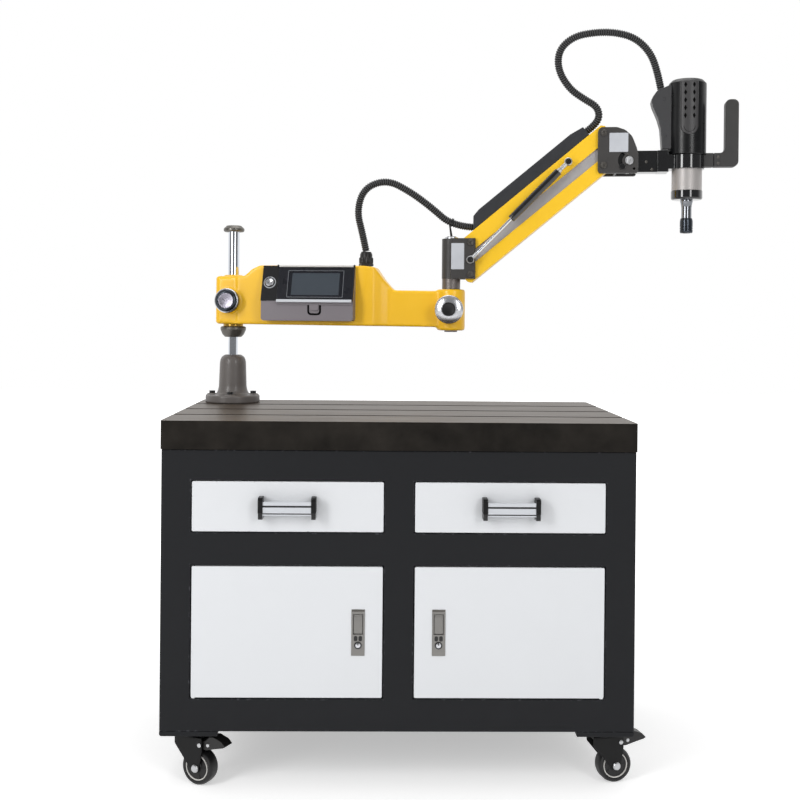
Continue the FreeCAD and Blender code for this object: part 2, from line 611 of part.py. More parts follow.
def make_door(name, side):
    """Folded door on two pins, and its latch: body, pull and push button."""
    where = chain(BENCH, at(f"{side} * {OPENING_X}", "-cabinet_depth / 2", DOOR_LOW))
    half = f"({OPENING_WIDTH} / 2 - door_gap)"
    low, high = "door_gap", "door_opening - door_gap"
    panel = box((f"-{half}", 0, low), (half, "door_thickness", high))
    hollow = box((f"-{half} + door_skin", "door_skin", f"{low} + door_skin"),
                 (f"{half} - door_skin", "door_thickness + 1", f"{high} - door_skin"))
    hinge_x = f"{side} * ({half} - hinge_inset)"
    block = "3 * hinge_inset"
    block_x = span(side, f"{half} - door_skin - {block}", f"{half} - door_skin")
    blocks = [box((block_x[0], "door_skin", z), (block_x[1], "door_thickness", f"{z} + {block}"))
              for z in (f"{low} + door_skin", f"{high} - door_skin - {block}")]
    bore = rod("hinge_pin + running", (hinge_x, "hinge_setback", "-1"), "door_opening + 2")
    latch_x = f"-{side} * ({half} - latch_inset)"
    latch_z = "door_opening / 2"
    seat = box((f"{latch_x} - latch_width / 2 + 1.2", "-1", f"{latch_z} - latch_height / 2 + 1.2"),
               (f"{latch_x} + latch_width / 2 - 1.2", "door_skin + 1",
                f"{latch_z} + latch_height / 2 - 1.2"))
    subpart(f"{name}_door", cut(fuse(cut(panel, hollow), *blocks), bore, seat, where=where))

    latch = chain(where, at(latch_x, 0, latch_z))
    body = [
        box(("-latch_width / 2", "-latch_flange", "-latch_height / 2"),
            ("latch_width / 2", 0, "latch_height / 2")),
        box(("-latch_width / 2 + 1.2", 0, "-latch_height / 2 + 1.2"),
            ("latch_width / 2 - 1.2", "latch_depth", "latch_height / 2 - 1.2")),
    ]
    recess_top = "latch_height / 2 - 10"
    recess_foot = f"{recess_top} - paddle_height - 2 * play"
    recess = box(("-paddle_width / 2 - play", "-latch_flange - 1", recess_foot),
                 ("paddle_width / 2 + play", "latch_depth - 2", f"{recess_top} + play"))
    button_z = "-latch_height / 2 + 22"
    hole = rod("latch_button + play", (0, "-latch_flange - 1", button_z), "latch_flange + 10", "y")
    subpart(f"{name}_latch", cut(fuse(*body), recess, hole, where=latch))
    pull = fuse(rod(2.5, ("-paddle_width / 2", "latch_flange + 1.5", f"{recess_top} - 2.5 - play"),
                    "paddle_width", "x"),
                box(("-paddle_width / 2", 0, f"{recess_top} - paddle_height"),
                    ("paddle_width / 2", "paddle_thickness", f"{recess_top} - 2.5 - play")))
    subpart(f"{name}_latch_pull", place(pull, latch))
    subpart(f"{name}_latch_button",
            rod("latch_button", (0, "-latch_flange - 1.5", button_z), "latch_flange + 5", "y", latch))


# ---------------------------------------------------------------- casters


SWIVEL_X = "(cabinet_width / 2 - caster_inset)"
SWIVEL_Y = "(cabinet_depth / 2 - caster_setback)"
RACE_LOW = "(caster_height - plate_thickness - race_height)"
CROWN_LOW = f"({RACE_LOW} - play - crown_thickness)"
CASTER_PLATES = {
    "front_left": chain(BENCH, at(f"-{SWIVEL_X}", f"-{SWIVEL_Y}")),
    "front_right": chain(BENCH, at(SWIVEL_X, f"-{SWIVEL_Y}")),
    "rear_left": chain(BENCH, at(f"-{SWIVEL_X}", SWIVEL_Y, yaw=90)),
    "rear_right": chain(BENCH, at(SWIVEL_X, SWIVEL_Y, yaw=90)),
}
CASTER_FORKS = dict(CASTER_PLATES)
CASTER_FORKS["front_left"] = chain(CASTER_PLATES["front_left"], at(yaw="-left_caster_turn"))
CASTER_FORKS["front_right"] = chain(CASTER_PLATES["front_right"], at(yaw="right_caster_turn"))


def fork_pieces(axle_x, crown_high, pedal):
    """Crown and two legs as one piece, and the axle with its two heads."""
    outline = [("-race_radius", crown_high), (f"{axle_x} + 16", crown_high),
               (f"{axle_x} + 16", "pedal_z - 12"), (f"{axle_x} + 9", "wheel_radius - 6"),
               (f"{axle_x} + 3", "wheel_radius - 10"), (f"{axle_x} - 3", "wheel_radius - 10"),
               (f"{axle_x} - 9", "wheel_radius - 6"), (f"-race_radius", "pedal_z - 4")]
    solid = plate(outline, "fork_gap / 2 + fork_plate")
    inside = box((f"-race_radius - 1", "-fork_gap / 2", 0),
                 (f"{axle_x} + 20", "fork_gap / 2", f"{crown_high} - crown_thickness"))
    holes = [across("axle_radius", axle_x, "wheel_radius", "fork_gap")]
    half = "fork_gap / 2 + fork_plate"
    pins = [fuse(across("axle_radius", axle_x, "wheel_radius", half),
                 rod("axle_radius + 3.5", (axle_x, f"-({half}) - 5", "wheel_radius"), 5, "y"),
                 rod("axle_radius + 3.5", (axle_x, half, "wheel_radius"), 5, "y"))]
    if pedal:
        holes.append(across(3, "pedal_x", "pedal_z", "fork_gap"))
        holes.append(box((f"{axle_x} + 4", "-fork_gap / 2", "pedal_z + 4"),
                         (f"{axle_x} + 20", "fork_gap / 2", f"{crown_high} + 1")))
        pins.append(fuse(across(3, "pedal_x", "pedal_z", half),
                         rod(5, ("pedal_x", f"-({half}) - 1.5", "pedal_z"), 1.5, "y"),
                         rod(5, ("pedal_x", half, "pedal_z"), 1.5, "y")))
    return [cut(solid, inside, *holes)] + pins


def make_wheel(name, axle_x):
    """Hub with an axle bore, and the tyre round it."""
    hub_radius = "wheel_radius - 8"
    hub = turned([("axle_radius + running", "-wheel_width / 2"), (hub_radius, "-wheel_width / 2"),
                  (hub_radius, "wheel_width / 2"), ("axle_radius + running", "wheel_width / 2")])
    tyre = turned([(hub_radius, "-wheel_width / 2"), ("wheel_radius - 4", "-wheel_width / 2"),
                   ("wheel_radius - 1", "-wheel_width / 2 + 3"), ("wheel_radius", "-wheel_width / 2 + 8"),
                   ("wheel_radius", "wheel_width / 2 - 8"), ("wheel_radius - 1", "wheel_width / 2 - 3"),
                   ("wheel_radius - 4", "wheel_width / 2"), (hub_radius, "wheel_width / 2")])
    spot = chain(CASTER_FORKS[name], at(axle_x, 0, "wheel_radius", roll=90))
    subpart(f"{name}_wheel", group(hub, tyre, where=spot))


def make_casters():
    """Two swivel casters with a brake pedal in front, two fixed ones behind."""
    mounts = []
    plate_low = "caster_height - plate_thickness"
    for name, spot in CASTER_PLATES.items():
        base = box(("-plate_length / 2", "-plate_width / 2", plate_low),
                   ("plate_length / 2", "plate_width / 2", "caster_height"), spot)
        if name.startswith("front"):
            race = rod("race_radius", (0, 0, RACE_LOW), "race_height", "z", spot)
            mounts.append(fuse(base, race))
            turned_spot = CASTER_FORKS[name]
            subpart(f"{name}_fork", group(*fork_pieces("trail", f"{CROWN_LOW} + crown_thickness", True),
                                          where=turned_spot))
            make_wheel(name, "trail")
            lever = [("pedal_x - 7", "pedal_z - 8"), ("pedal_x + 14", "pedal_z - 10"),
                     ("pedal_x + 36", "pedal_z - 4"), ("pedal_x + 56", "pedal_z + 1"),
                     ("pedal_x + 61", "pedal_z + 4"), ("pedal_x + 52", "pedal_z + 13"),
                     ("pedal_x + 32", "pedal_z + 20"), ("pedal_x + 22", "pedal_z + 19"),
                     ("pedal_x + 12", "pedal_z + 9"), ("pedal_x - 7", "pedal_z + 7")]
            bore = across("3 + running", "pedal_x", "pedal_z", "pedal_width")
            subpart(f"{name}_brake_pedal", cut(plate(lever, "pedal_width / 2"), bore,
                                                    where=turned_spot))
        else:
            mounts.append(base)
            mounts.append(group(*fork_pieces(0, plate_low, False), where=spot))
            make_wheel(name, 0)
    subpart("caster_mounts", group(*mounts))


# ---------------------------------------------------------------- column


def make_column():
    """Socket bolted to the table, stepped column, stop collar and cap, and the bush that slides on it."""
    foot = [
        (0, 0), ("flange_radius", 0), ("flange_radius", "flange_thickness - 2"),
        ("flange_radius - 2", "flange_thickness"), ("socket_radius + 11", "flange_thickness + 1"),
        ("socket_radius + 7", "flange_thickness + 4"), ("socket_radius + 3.5", "flange_thickness + 11"),
        ("socket_radius + 2", "flange_thickness + 17"), ("socket_radius", "socket_height - 18"),
        ("socket_radius - 3", "socket_height - 8"), ("socket_radius - 11", "socket_height"),
        ("lower_radius", "socket_height"), ("lower_radius", 15), (0, 15)]
    bosses = [rod("foot_bolt + 8", (x, y, 0), "flange_thickness + 3") for x, y in foot_bolt_places()]
    holes = [rod("foot_bolt", (x, y, "-1"), "flange_thickness + 10") for x, y in foot_bolt_places()]
    bore = rod("lower_radius", (0, 0, 15), "socket_height")
    base = chain(BENCH, at(COLUMN_X, COLUMN_Y, TABLE_TOP))
    socket = cut(fuse(turned(foot), *bosses), bore, *holes)
    bolts = [fuse(rod("foot_bolt", (x, y, "-foot_bolt_depth"), "foot_bolt_depth + flange_thickness + 3"),
                  rod("foot_bolt + 3", (x, y, "flange_thickness + 3"), 8))
             for x, y in foot_bolt_places()]
    subpart("column_socket", group(socket, *bolts, where=base))
    subpart("column", turned([(0, 15), ("lower_radius", 15), ("lower_radius", "collar_low"),
                              ("column_radius", "collar_low"), ("column_radius", "cap_low"),
                              (0, "cap_low")], base))
    collar = turned([("column_radius", "collar_low"), ("column_radius + 6.5", "collar_low"),
                     ("column_radius + 13", "collar_low + 7"), ("column_radius + 18", "collar_low + 19"),
                     ("column_radius + 18", "collar_high - 3"), ("column_radius + 15", "collar_high"),
                     ("column_radius", "collar_high")])
    cap = turned([(0, "cap_low"), ("column_radius + 9", "cap_low"), ("column_radius + 12", "cap_low + 3"),
                  ("column_radius + 12", "cap_low + 8"), ("column_radius + 4", "cap_low + cap_height"),
                  (0, "cap_low + cap_height")])
    subpart("column_stops", group(collar, cap, where=base))
    inner = "column_radius + running"
    outer = "column_radius + running + bush_wall"
    foot_z = "collar_high + play"
    subpart("column_bush", turned([(inner, foot_z), ("bush_flange", foot_z),
                                   ("bush_flange", f"{foot_z} + bush_flange_height"),
                                   (outer, f"{foot_z} + bush_flange_height"),
                                   (outer, "head_high + 3"), (inner, "head_high + 3")], ARM))


# ---------------------------------------------------------------- first arm


def make_casting():
    """One casting: clamp head on the column, control body with an open bay, slim arm and pivot boss."""
    side = plate([(20, "casting_low"), ("arm1_reach", "casting_low - 3"), ("arm1_reach", "slim_high"),
                  ("arm1_reach - 142", "slim_high + 1"), ("arm1_reach - 165", "slim_high + 26"),
                  ("arm1_reach - 188", "casting_high - 3"), ("arm1_reach - 215", "casting_high"),
                  (78, "casting_high"), (58, "casting_high - 9"), ("head_width / 2", "head_high"),
                  (20, "head_high")], "casting_half")
    wide_end, slim_start = "(arm1_reach - 210)", "(arm1_reach - 155)"
    front = [(15, "-casting_half"), (wide_end, "-casting_half"),
             (f"{wide_end} + 20", "-casting_half + 4"), (f"{wide_end} + 38", "-slim_half - 7"),
             (slim_start, "-slim_half"), ("arm1_reach", "-slim_half")]
    rear = [(x, f"-({y})") for x, y in reversed(front)]
    plan = slab(front + rear, "casting_high", at(0, 0, 100))
    head = rounded(box(("-head_width / 2", "-head_width / 2", "casting_low"),
                       ("head_width / 2", "head_width / 2", "head_high")), 15, upright)
    solids = [
        common(side, plan), head,
        rod("column_radius + 8", (0, 0, "head_high - 1"), 7),
        rod("boss_radius", ("arm1_reach", 0, "boss_low"), "boss_high - boss_low"),
        rod("knob_radius - 1.5", (0, "-head_width / 2 - 9", "knob_height"), "head_width / 2", "y"),
        rod("arm2_knob_radius - 4", ("arm1_reach", "-boss_radius - 11", "arm2_knob_height"),
            "boss_radius", "y"),
    ]
    bush = "column_radius + 2 * running + bush_wall"
    bay = box(("box_left + 10", "-casting_half - 1", "box_low + 7"),
              ("box_left + box_length - 11", "casting_half - 8", "casting_high - 10"))
    tools = [
        rod(bush, (0, 0, "casting_low - 5"), "casting_high"),
        rod("shaft_radius + running", ("arm1_reach", 0, "boss_low - 5"), "boss_high"),
        rod("stud_radius + running", (0, "-head_width", "knob_height"), "head_width", "y"),
        rod("stud_radius + running", ("arm1_reach", "-2 * boss_radius", "arm2_knob_height"),
            "2 * boss_radius", "y"),
        bay,
        rod("conduit_radius - 2", ("gland_x", 0, "casting_high - 40"), 45),
    ]
    subpart("arm1_casting", cut(fuse(*solids), *tools, where=ARM))


def make_controls():
    """Control box on the front of the casting, its bezel and screen, the flip-up cover and the button."""
    front, back = "-casting_half - box_depth", "-casting_half"
    top_y = "-casting_half - box_top_depth"
    wall_run = f"box_wall / cos({PANEL_TILT})"
    outer = [(front, "box_low"), (back, "box_low"), (back, "box_high"), (top_y, "box_high"),
             (front, "panel_low")]
    inner = [(f"{front} + box_wall", "box_low + box_wall"), (f"{back} + 1", "box_low + box_wall"),
             (f"{back} + 1", "box_high - box_wall"),
             (f"{top_y} - box_wall * tan({PANEL_TILT}) + {wall_run}", "box_high - box_wall"),
             (f"{front} + box_wall", f"panel_low + (box_wall - {wall_run}) / tan({PANEL_TILT})")]
    shell = cut(slab(outer, "box_length", at("box_left", yaw=90, roll=90)),
                slab(inner, "box_length - 2 * box_wall", at("box_left + box_wall", yaw=90, roll=90)))
    window = box(("screen_left - play", -30, "-screen_drop - screen_height - play"),
                 (f"screen_left + {SCREEN_WIDTH} + play", 20, "-screen_drop + play"))
    hole = rod("button_radius + play", ("button_left", -30, "-button_drop"), 50, "y")
    panel_in_arm = at("box_left", top_y, "box_high", roll=f"-{PANEL_TILT}")
    openings = fuse(window, hole, where=panel_in_arm)
    subpart("control_box", cut(shell, openings, where=ARM))

    bezel_window = box(("screen_left - play", -30, "-screen_drop - screen_height - play"),
                       (f"screen_left + {SCREEN_WIDTH} + play", 20, "-screen_drop + play"))
    bezel_hole = rod("button_radius + play", ("button_left", -30, "-button_drop"), 50, "y")
    bezel = cut(box((0, "-bezel_thickness", f"-{PANEL_SLOPE} + 0.5"), ("box_length", 0, "-0.5")),
                bezel_window, bezel_hole)
    collar = cut(rod("button_ring", ("button_left", "-bezel_thickness - 3", "-button_drop"), 3, "y"),
                 rod("button_radius + play", ("button_left", -30, "-button_drop"), 50, "y"))
    ears = []
    for x in ("cover_left - play - 4", f"cover_left + {COVER_LENGTH} + play"):
        ears.append(box((x, "-bezel_thickness - 6.5", "-4"), (f"{x} + 4", "-bezel_thickness", "-0.5")))
    pins = [rod(1, ("cover_left - play", "-bezel_thickness - 3.5", "-3"), 6, "x"),
            rod(1, (f"cover_left + {COVER_LENGTH} + play - 6", "-bezel_thickness - 3.5", "-3"), 6, "x")]
    subpart("display_bezel", fuse(bezel, collar, *ears, *pins, where=PANEL))
    subpart("touchscreen", box(("screen_left", "-bezel_thickness + 0.5", "-screen_drop - screen_height"),
                               (f"screen_left + {SCREEN_WIDTH}", 5, "-screen_drop"), PANEL))
    cover_y = "-bezel_thickness - 3.5"
    end = f"cover_left + {COVER_LENGTH}"
    sheet = box(("cover_left", f"{cover_y} - cover_thickness / 2", "-cover_height"),
                (end, f"{cover_y} + cover_thickness / 2", "-3"))
    barrel = rod(2.6, ("cover_left", cover_y, "-3"), COVER_LENGTH, "x")
    lip = box(("cover_left", f"{cover_y} - 4", "-cover_height - 4"),
              (end, f"{cover_y} + 2", "-cover_height"))
    tab_left = f"cover_left + {COVER_LENGTH} / 2 - tab_width / 2"
    tab = box((tab_left, f"{cover_y} - 3", "-cover_height - tab_height"),
              (f"{tab_left} + tab_width", f"{cover_y} + 0.5", "-cover_height - 3"))
    bore = rod("1 + running", ("cover_left - 1", cover_y, "-3"), f"{COVER_LENGTH} + 2", "x")
    subpart("screen_cover", cut(fuse(sheet, barrel, lip, tab), bore, where=PANEL))
    cap = rod("button_radius", ("button_left", "-bezel_thickness - 5", "-button_drop"), 14, "y")
    flange = rod("button_radius + 2", ("button_left", "box_wall + 2.6", "-button_drop"), 2, "y")
    subpart("power_button", fuse(cap, flange, where=PANEL))
    subpart("drive_controller", box(("box_left + 30", "casting_half - 48", "box_low + 20"),
                                    ("box_left + 180", "casting_half - 8", "casting_high - 30"), ARM))
    gland = [("conduit_radius - 2", 0), ("gland_radius", 0), ("gland_radius", "gland_height * 0.55"),
             ("gland_radius - 3", "gland_height * 0.62"), ("gland_radius - 3", "gland_height * 0.8"),
             ("gland_radius - 6", "gland_height"), ("conduit_radius - 2", "gland_height")]
    subpart("cable_gland", turned(gland, chain(ARM, at("gland_x", 0, "casting_high"))))


def make_knob(label, x, height, face, radius, stud_end):
    """Clamp knob on the front of the arm with its stud. The stud points to the clamped piece."""
    near = f"({stud_end} + {face} + play)"
    profile = [(0, 0), ("stud_radius", 0), ("stud_radius", near), (f"{radius} - 6", near),
               (f"{radius} - 2", f"{near} + 3"), (radius, f"{near} + 7"),
               (radius, f"{near} + knob_thickness - 8"), (f"{radius} - 6", f"{near} + knob_thickness"),
               (0, f"{near} + knob_thickness")]
    subpart(label, turned(profile, chain(ARM, at(x, stud_end, height, roll=90))))


# ---------------------------------------------------------------- pivot and second arm


def make_pivot():
    """Shaft with its spacer and nuts, the pivot block and its pins."""
    shaft = turned([(0, "boss_low - 6"), ("shaft_radius + 4", "boss_low - 6"),
                    ("shaft_radius + 4", "boss_low - play"), ("shaft_radius", "boss_low - play"),
                    ("shaft_radius", "block_high + 6"), (0, "block_high + 6")])
    spacer = ring("shaft_radius", "spacer_radius", "boss_high + play", "block_low")
    nut = ring("shaft_radius", "shaft_radius + 5", "block_high", "block_high + 4")
    subpart("pivot_shaft", group(shaft, spacer, nut, where=PIVOT))

    outline = [(0, "-barrel_radius"), ("cheek_start", "-cheek_half"), ("cheek_reach", "-cheek_half"),
               ("cheek_reach", "cheek_half"), ("cheek_start", "cheek_half"), (0, "barrel_radius")]
    solid = fuse(rod("barrel_radius", (0, 0, "block_low"), "block_high - block_low"),
                 slab(outline, "block_high - block_low", at(0, 0, "block_low")))
    inside = "link_half + side_gap"
    slot = box(("barrel_radius + play", f"-({inside})", "block_low - 1"),
               ("cheek_reach + 1", inside, "block_high + 1"))
    lower_pin, strut_pin = "upper_pin_height - pin_spacing", "upper_pin_height - strut_pin_drop"
    bores = [across("pin_radius", "pin_offset", z, "cheek_half + 1")
             for z in ("upper_pin_height", lower_pin)]
    bores.append(across("rod_radius", "pin_offset", strut_pin, "cheek_half + 1"))
    bore = rod("shaft_radius", (0, 0, "block_low - 1"), "block_high - block_low + 2")
    pins = [fuse(across("pin_radius", "pin_offset", z, "cheek_half"),
                 rod("pin_head", ("pin_offset", "cheek_half", z), "pin_head_height", "y"),
                 rod("pin_head", ("pin_offset", "-cheek_half - pin_head_height", z), "pin_head_height", "y"))
            for z in ("upper_pin_height", lower_pin)]
    eye_out = "strut_side + eye_width / 2"
    for hand in (-1, 1):
        start = f"{inside}" if hand > 0 else f"-({eye_out} + 1)"
        head = f"{eye_out} + 1" if hand > 0 else f"-({eye_out} + 4)"
        stud = rod("rod_radius", ("pin_offset", start, strut_pin), f"{eye_out} + 1 - ({inside})", "y")
        pins.append(fuse(stud, rod("open_eye - 0.8", ("pin_offset", head, strut_pin), 3, "y")))
    subpart("pivot_block", group(cut(solid, slot, *bores, bore), *pins, where=PIVOT))


def channel(outline, open_low, where):
    """A folded channel: the outline as a solid, hollow inside its walls and open at the top or foot."""
    solid = plate(outline, "link_half")
    half = "link_half - link_wall"
    low, high = open_low
    hollow = box(("-60", f"-({half})", low), ("link_length + 60", half, high))
    bores = [across("pin_radius + running", x, 0, "link_half + 1") for x in (0, "link_length")]
    return cut(solid, hollow, *bores, where=where) if where else cut(solid, hollow, *bores)


def make_links():
    """Parallel links with the shield between them and the cable cover on top."""
    high, low = 20, -18
    upper = channel([(-14, -10), (-7, low), ("link_length + 7", low), ("link_length + 14", -10),
                     ("link_length + 14", 12), ("link_length + 7", high), (-7, high), (-14, 12)],
                    ("-30", f"{high} - link_wall"), None)
    studs = []
    eye_out = "strut_side + eye_width / 2"
    for hand in (-1, 1):
        start = "link_half" if hand > 0 else f"-({eye_out} + 1)"
        head = f"{eye_out} + play" if hand > 0 else f"-({eye_out} + play + 3)"
        studs.append(rod("rod_radius", ("strut_upper", start, 0), f"{eye_out} + 1 - link_half", "y"))
        studs.append(rod("rod_radius + 2.5", ("strut_upper", head, 0), 3, "y"))
    subpart("upper_link", fuse(upper, *studs, where=UPPER))

    lower_high, lower_low = 17, -16.5
    lower = channel([(-18, -8), (-11, lower_low), ("link_length + 7", lower_low),
                     ("link_length + 14", -8), ("link_length + 14", 9), ("link_length + 7", lower_high),
                     (-11, lower_high), (-18, 9)], (f"{lower_low} + link_wall", "40"), LOWER)
    subpart("lower_link", lower)

    step, tall = "pin_spacing * sin(lift_angle) + 26", "pin_spacing - 16"
    low_tall, beyond = "pin_spacing / 2 + 2", "link_length + 40"
    shield = plate([(26, -10), ("link_length - 15", -10), ("link_length - 15", 9), ("link_length + 21", 9),
                    ("link_length + 17", low_tall), ("link_length + 13", tall), (step, tall),
                    (step, low_tall), (26, low_tall)], "shield_half")
    hollow = plate([(16, -20), (beyond, -20), (beyond, f"{tall} - shield_wall"),
                    (f"{step} + shield_wall", f"{tall} - shield_wall"),
                    (f"{step} + shield_wall", f"{low_tall} - shield_wall"),
                    (16, f"{low_tall} - shield_wall")], "shield_half - shield_wall")
    tabs = [box((x, f"{hand} * shield_half - {0 if hand > 0 else 1}", "-9"),
                (f"{x} + 20", f"{hand} * shield_half + {1 if hand > 0 else 0}", "12"))
            for x in (60, "link_length - 60") for hand in (-1, 1)]
    subpart("link_shield", fuse(cut(shield, hollow), *tabs, where=LOWER))

    end = "link_length - 27"
    outline = [(22, high), (46, high + 28), (66, high + 32), (f"{end} - 35", high + 31),
               (end, high + 25), (end, high)]
    inside = [(f"24 + cover_wall", f"{high} - 1"), ("46 + cover_wall", f"{high} + 26"),
              ("66 + cover_wall", f"{high} + 32 - cover_wall"), (f"{end} - 36", f"{high} + 31 - cover_wall"),
              (f"{end} - cover_wall", f"{high} + 25 - cover_wall"), (f"{end} - cover_wall", f"{high} - 1")]
    subpart("cable_cover", cut(plate(outline, "cover_half"), plate(inside, "cover_half - cover_wall"),
                               where=UPPER))


def make_struts():
    """A gas strut each side: cylinder on the upper link, rod towards the pivot block."""
    cylinders, rods = [], []
    barrel_end = "strut_neck + strut_cylinder"
    for hand in (-1, 1):
        y = f"{hand} * strut_side"
        eye = cut(fuse(across("eye_radius", 0, 0, "eye_width / 2"),
                       rod(5, (7.5, 0, 0), "strut_neck - 7.5", "x")),
                  across("rod_radius + running", 0, 0, "eye_width"))
        tube = cut(rod("strut_radius", ("strut_neck", 0, 0), "strut_cylinder", "x"),
                   rod("strut_radius - 3", ("strut_neck + 10", 0, 0), "strut_cylinder - 14", "x"),
                   rod("rod_radius + running", ("strut_neck + 10", 0, 0), "strut_cylinder", "x"))
        cylinders.append(fuse(eye, tube, where=at(0, y, 0)))
        piston = f"{barrel_end} - rod_hidden"
        stem = fuse(rod("rod_radius", (piston, 0, 0), f"{STRUT_LENGTH} - ({piston}) - open_eye - 1", "x"),
                    rod("strut_radius - 3 - running", (piston, 0, 0), 6, "x"),
                    rod(5, (f"{STRUT_LENGTH} - 22", 0, 0), "22 - open_eye - 1", "x"))
        loop = cut(across("eye_radius", STRUT_LENGTH, 0, "eye_width / 2"),
                   across("open_eye", STRUT_LENGTH, 0, "eye_width"))
        rods.append(fuse(stem, loop, where=at(0, y, 0)))
    subpart("strut_cylinders", group(*cylinders, where=STRUT))
    subpart("strut_rods", group(*rods, where=STRUT))


# ---------------------------------------------------------------- head


def arc_cut(half):
    """The arc slot: a ring sector about the tilt pin with round ends, through both side plates."""
    pieces = []
    sector = cut(across("arc_radius + arc_half", 0, 0, half), across("arc_radius - arc_half", 0, 0, half))
    reach = "2 * arc_radius"
    wedge = plate([(0, 0)] + [(f"{reach} * cos(arc_low - arc_sweep * {i} / 4)",
                              f"{reach} * sin(arc_low - arc_sweep * {i} / 4)") for i in range(5)], half)
    pieces.append(common(sector, wedge))
    for angle in ("arc_low", "(arc_low - arc_sweep)"):
        pieces.append(across("arc_half", f"arc_radius * cos({angle})", f"arc_radius * sin({angle})", half))
    return fuse(*pieces, where=at("tilt_x", 0, "-tilt_drop"))


def make_end_block():
    """Two side plates joined by a web, with the link pins, and the arc slot for the tilt lock."""
    outline = [("-end_left", "-end_foot"), ("end_right", "-end_foot"), ("end_right", "-end_foot + 46"),
               ("end_right - 4", "-end_foot + 62"), ("end_right - 15", "end_top - 22"),
               ("end_right - 31", "end_top - 7"), ("end_right - 51", "end_top"), ("-end_left", "end_top")]
    inside = "link_half + side_gap"
    left = box(("-end_left - 1", f"-({inside})", "-end_foot - 1"), ("web_left", inside, "end_top + 1"))
    right = box(("web_left + web", "-tongue_half - side_gap", "-end_foot - 1"),
                ("end_right + 1", "tongue_half + side_gap", "end_top - 6"))
    bores = [across("pin_radius", 0, z, "end_half + 1") for z in (0, "-pin_spacing")]
    bores.append(across("pin_radius", "tilt_x", "-tilt_drop", "end_half + 1"))
    block = cut(plate(outline, "end_half"), left, right, arc_cut("end_half + 1"), *bores)
    pins = []
    for x, z, head in ((0, 0, "pin_head"), (0, "-pin_spacing", "pin_head"),
                       ("tilt_x", "-tilt_drop", "pin_head + 2")):
        pins.append(fuse(across("pin_radius", x, z, "end_half"),
                         rod(head, (x, "end_half", z), "pin_head_height", "y"),
                         rod(head, (x, "-end_half - pin_head_height", z), "pin_head_height", "y")))
    subpart("end_block", group(block, *pins, where=END))


def make_tilt_bracket():
    """Tongue between the side plates, carrying the lock screw, and the clamp round the head."""
    screw_x, screw_z = "arc_radius * cos(arc_low)", "arc_radius * sin(arc_low)"
    bar = box((0, "-tongue_half", "-bracket_half"), ("bracket_reach", "tongue_half", "bracket_half"))
    tongue = fuse(across("tongue_radius", 0, 0, "tongue_half"), bar)
    solid = cut(tongue, across("pin_radius + running", 0, 0, "tongue_half + 1"),
                across("lock_radius", screw_x, screw_z, "tongue_half + 1"))
    screw = fuse(across("lock_radius", screw_x, screw_z, "end_half + play"),
                 rod("lock_radius + 3", (screw_x, "end_half + play", screw_z), "pin_head_height", "y"),
                 rod("lock_radius + 3", (screw_x, "-end_half - play - pin_head_height", screw_z),
                     "pin_head_height", "y"))
    subpart("tilt_bracket", group(solid, screw, where=TILT))

    left = "-head_reach + tilt_x + bracket_reach"
    joint_block = box((left, "-link_half", "-bracket_half"),
                      ("-body_radius - 1", "link_half", "bracket_half"))
    clamp = fuse(rod("clamp_radius", (0, 0, "-clamp_low"), "clamp_low + clamp_high"), joint_block,
                 box(("-body_radius - 2", "-link_half", "-clamp_low"), (-30, "link_half", "clamp_high")))
    subpart("head_clamp", cut(clamp, rod("gear_radius", (0, 0, -50), 100), where=HEAD))


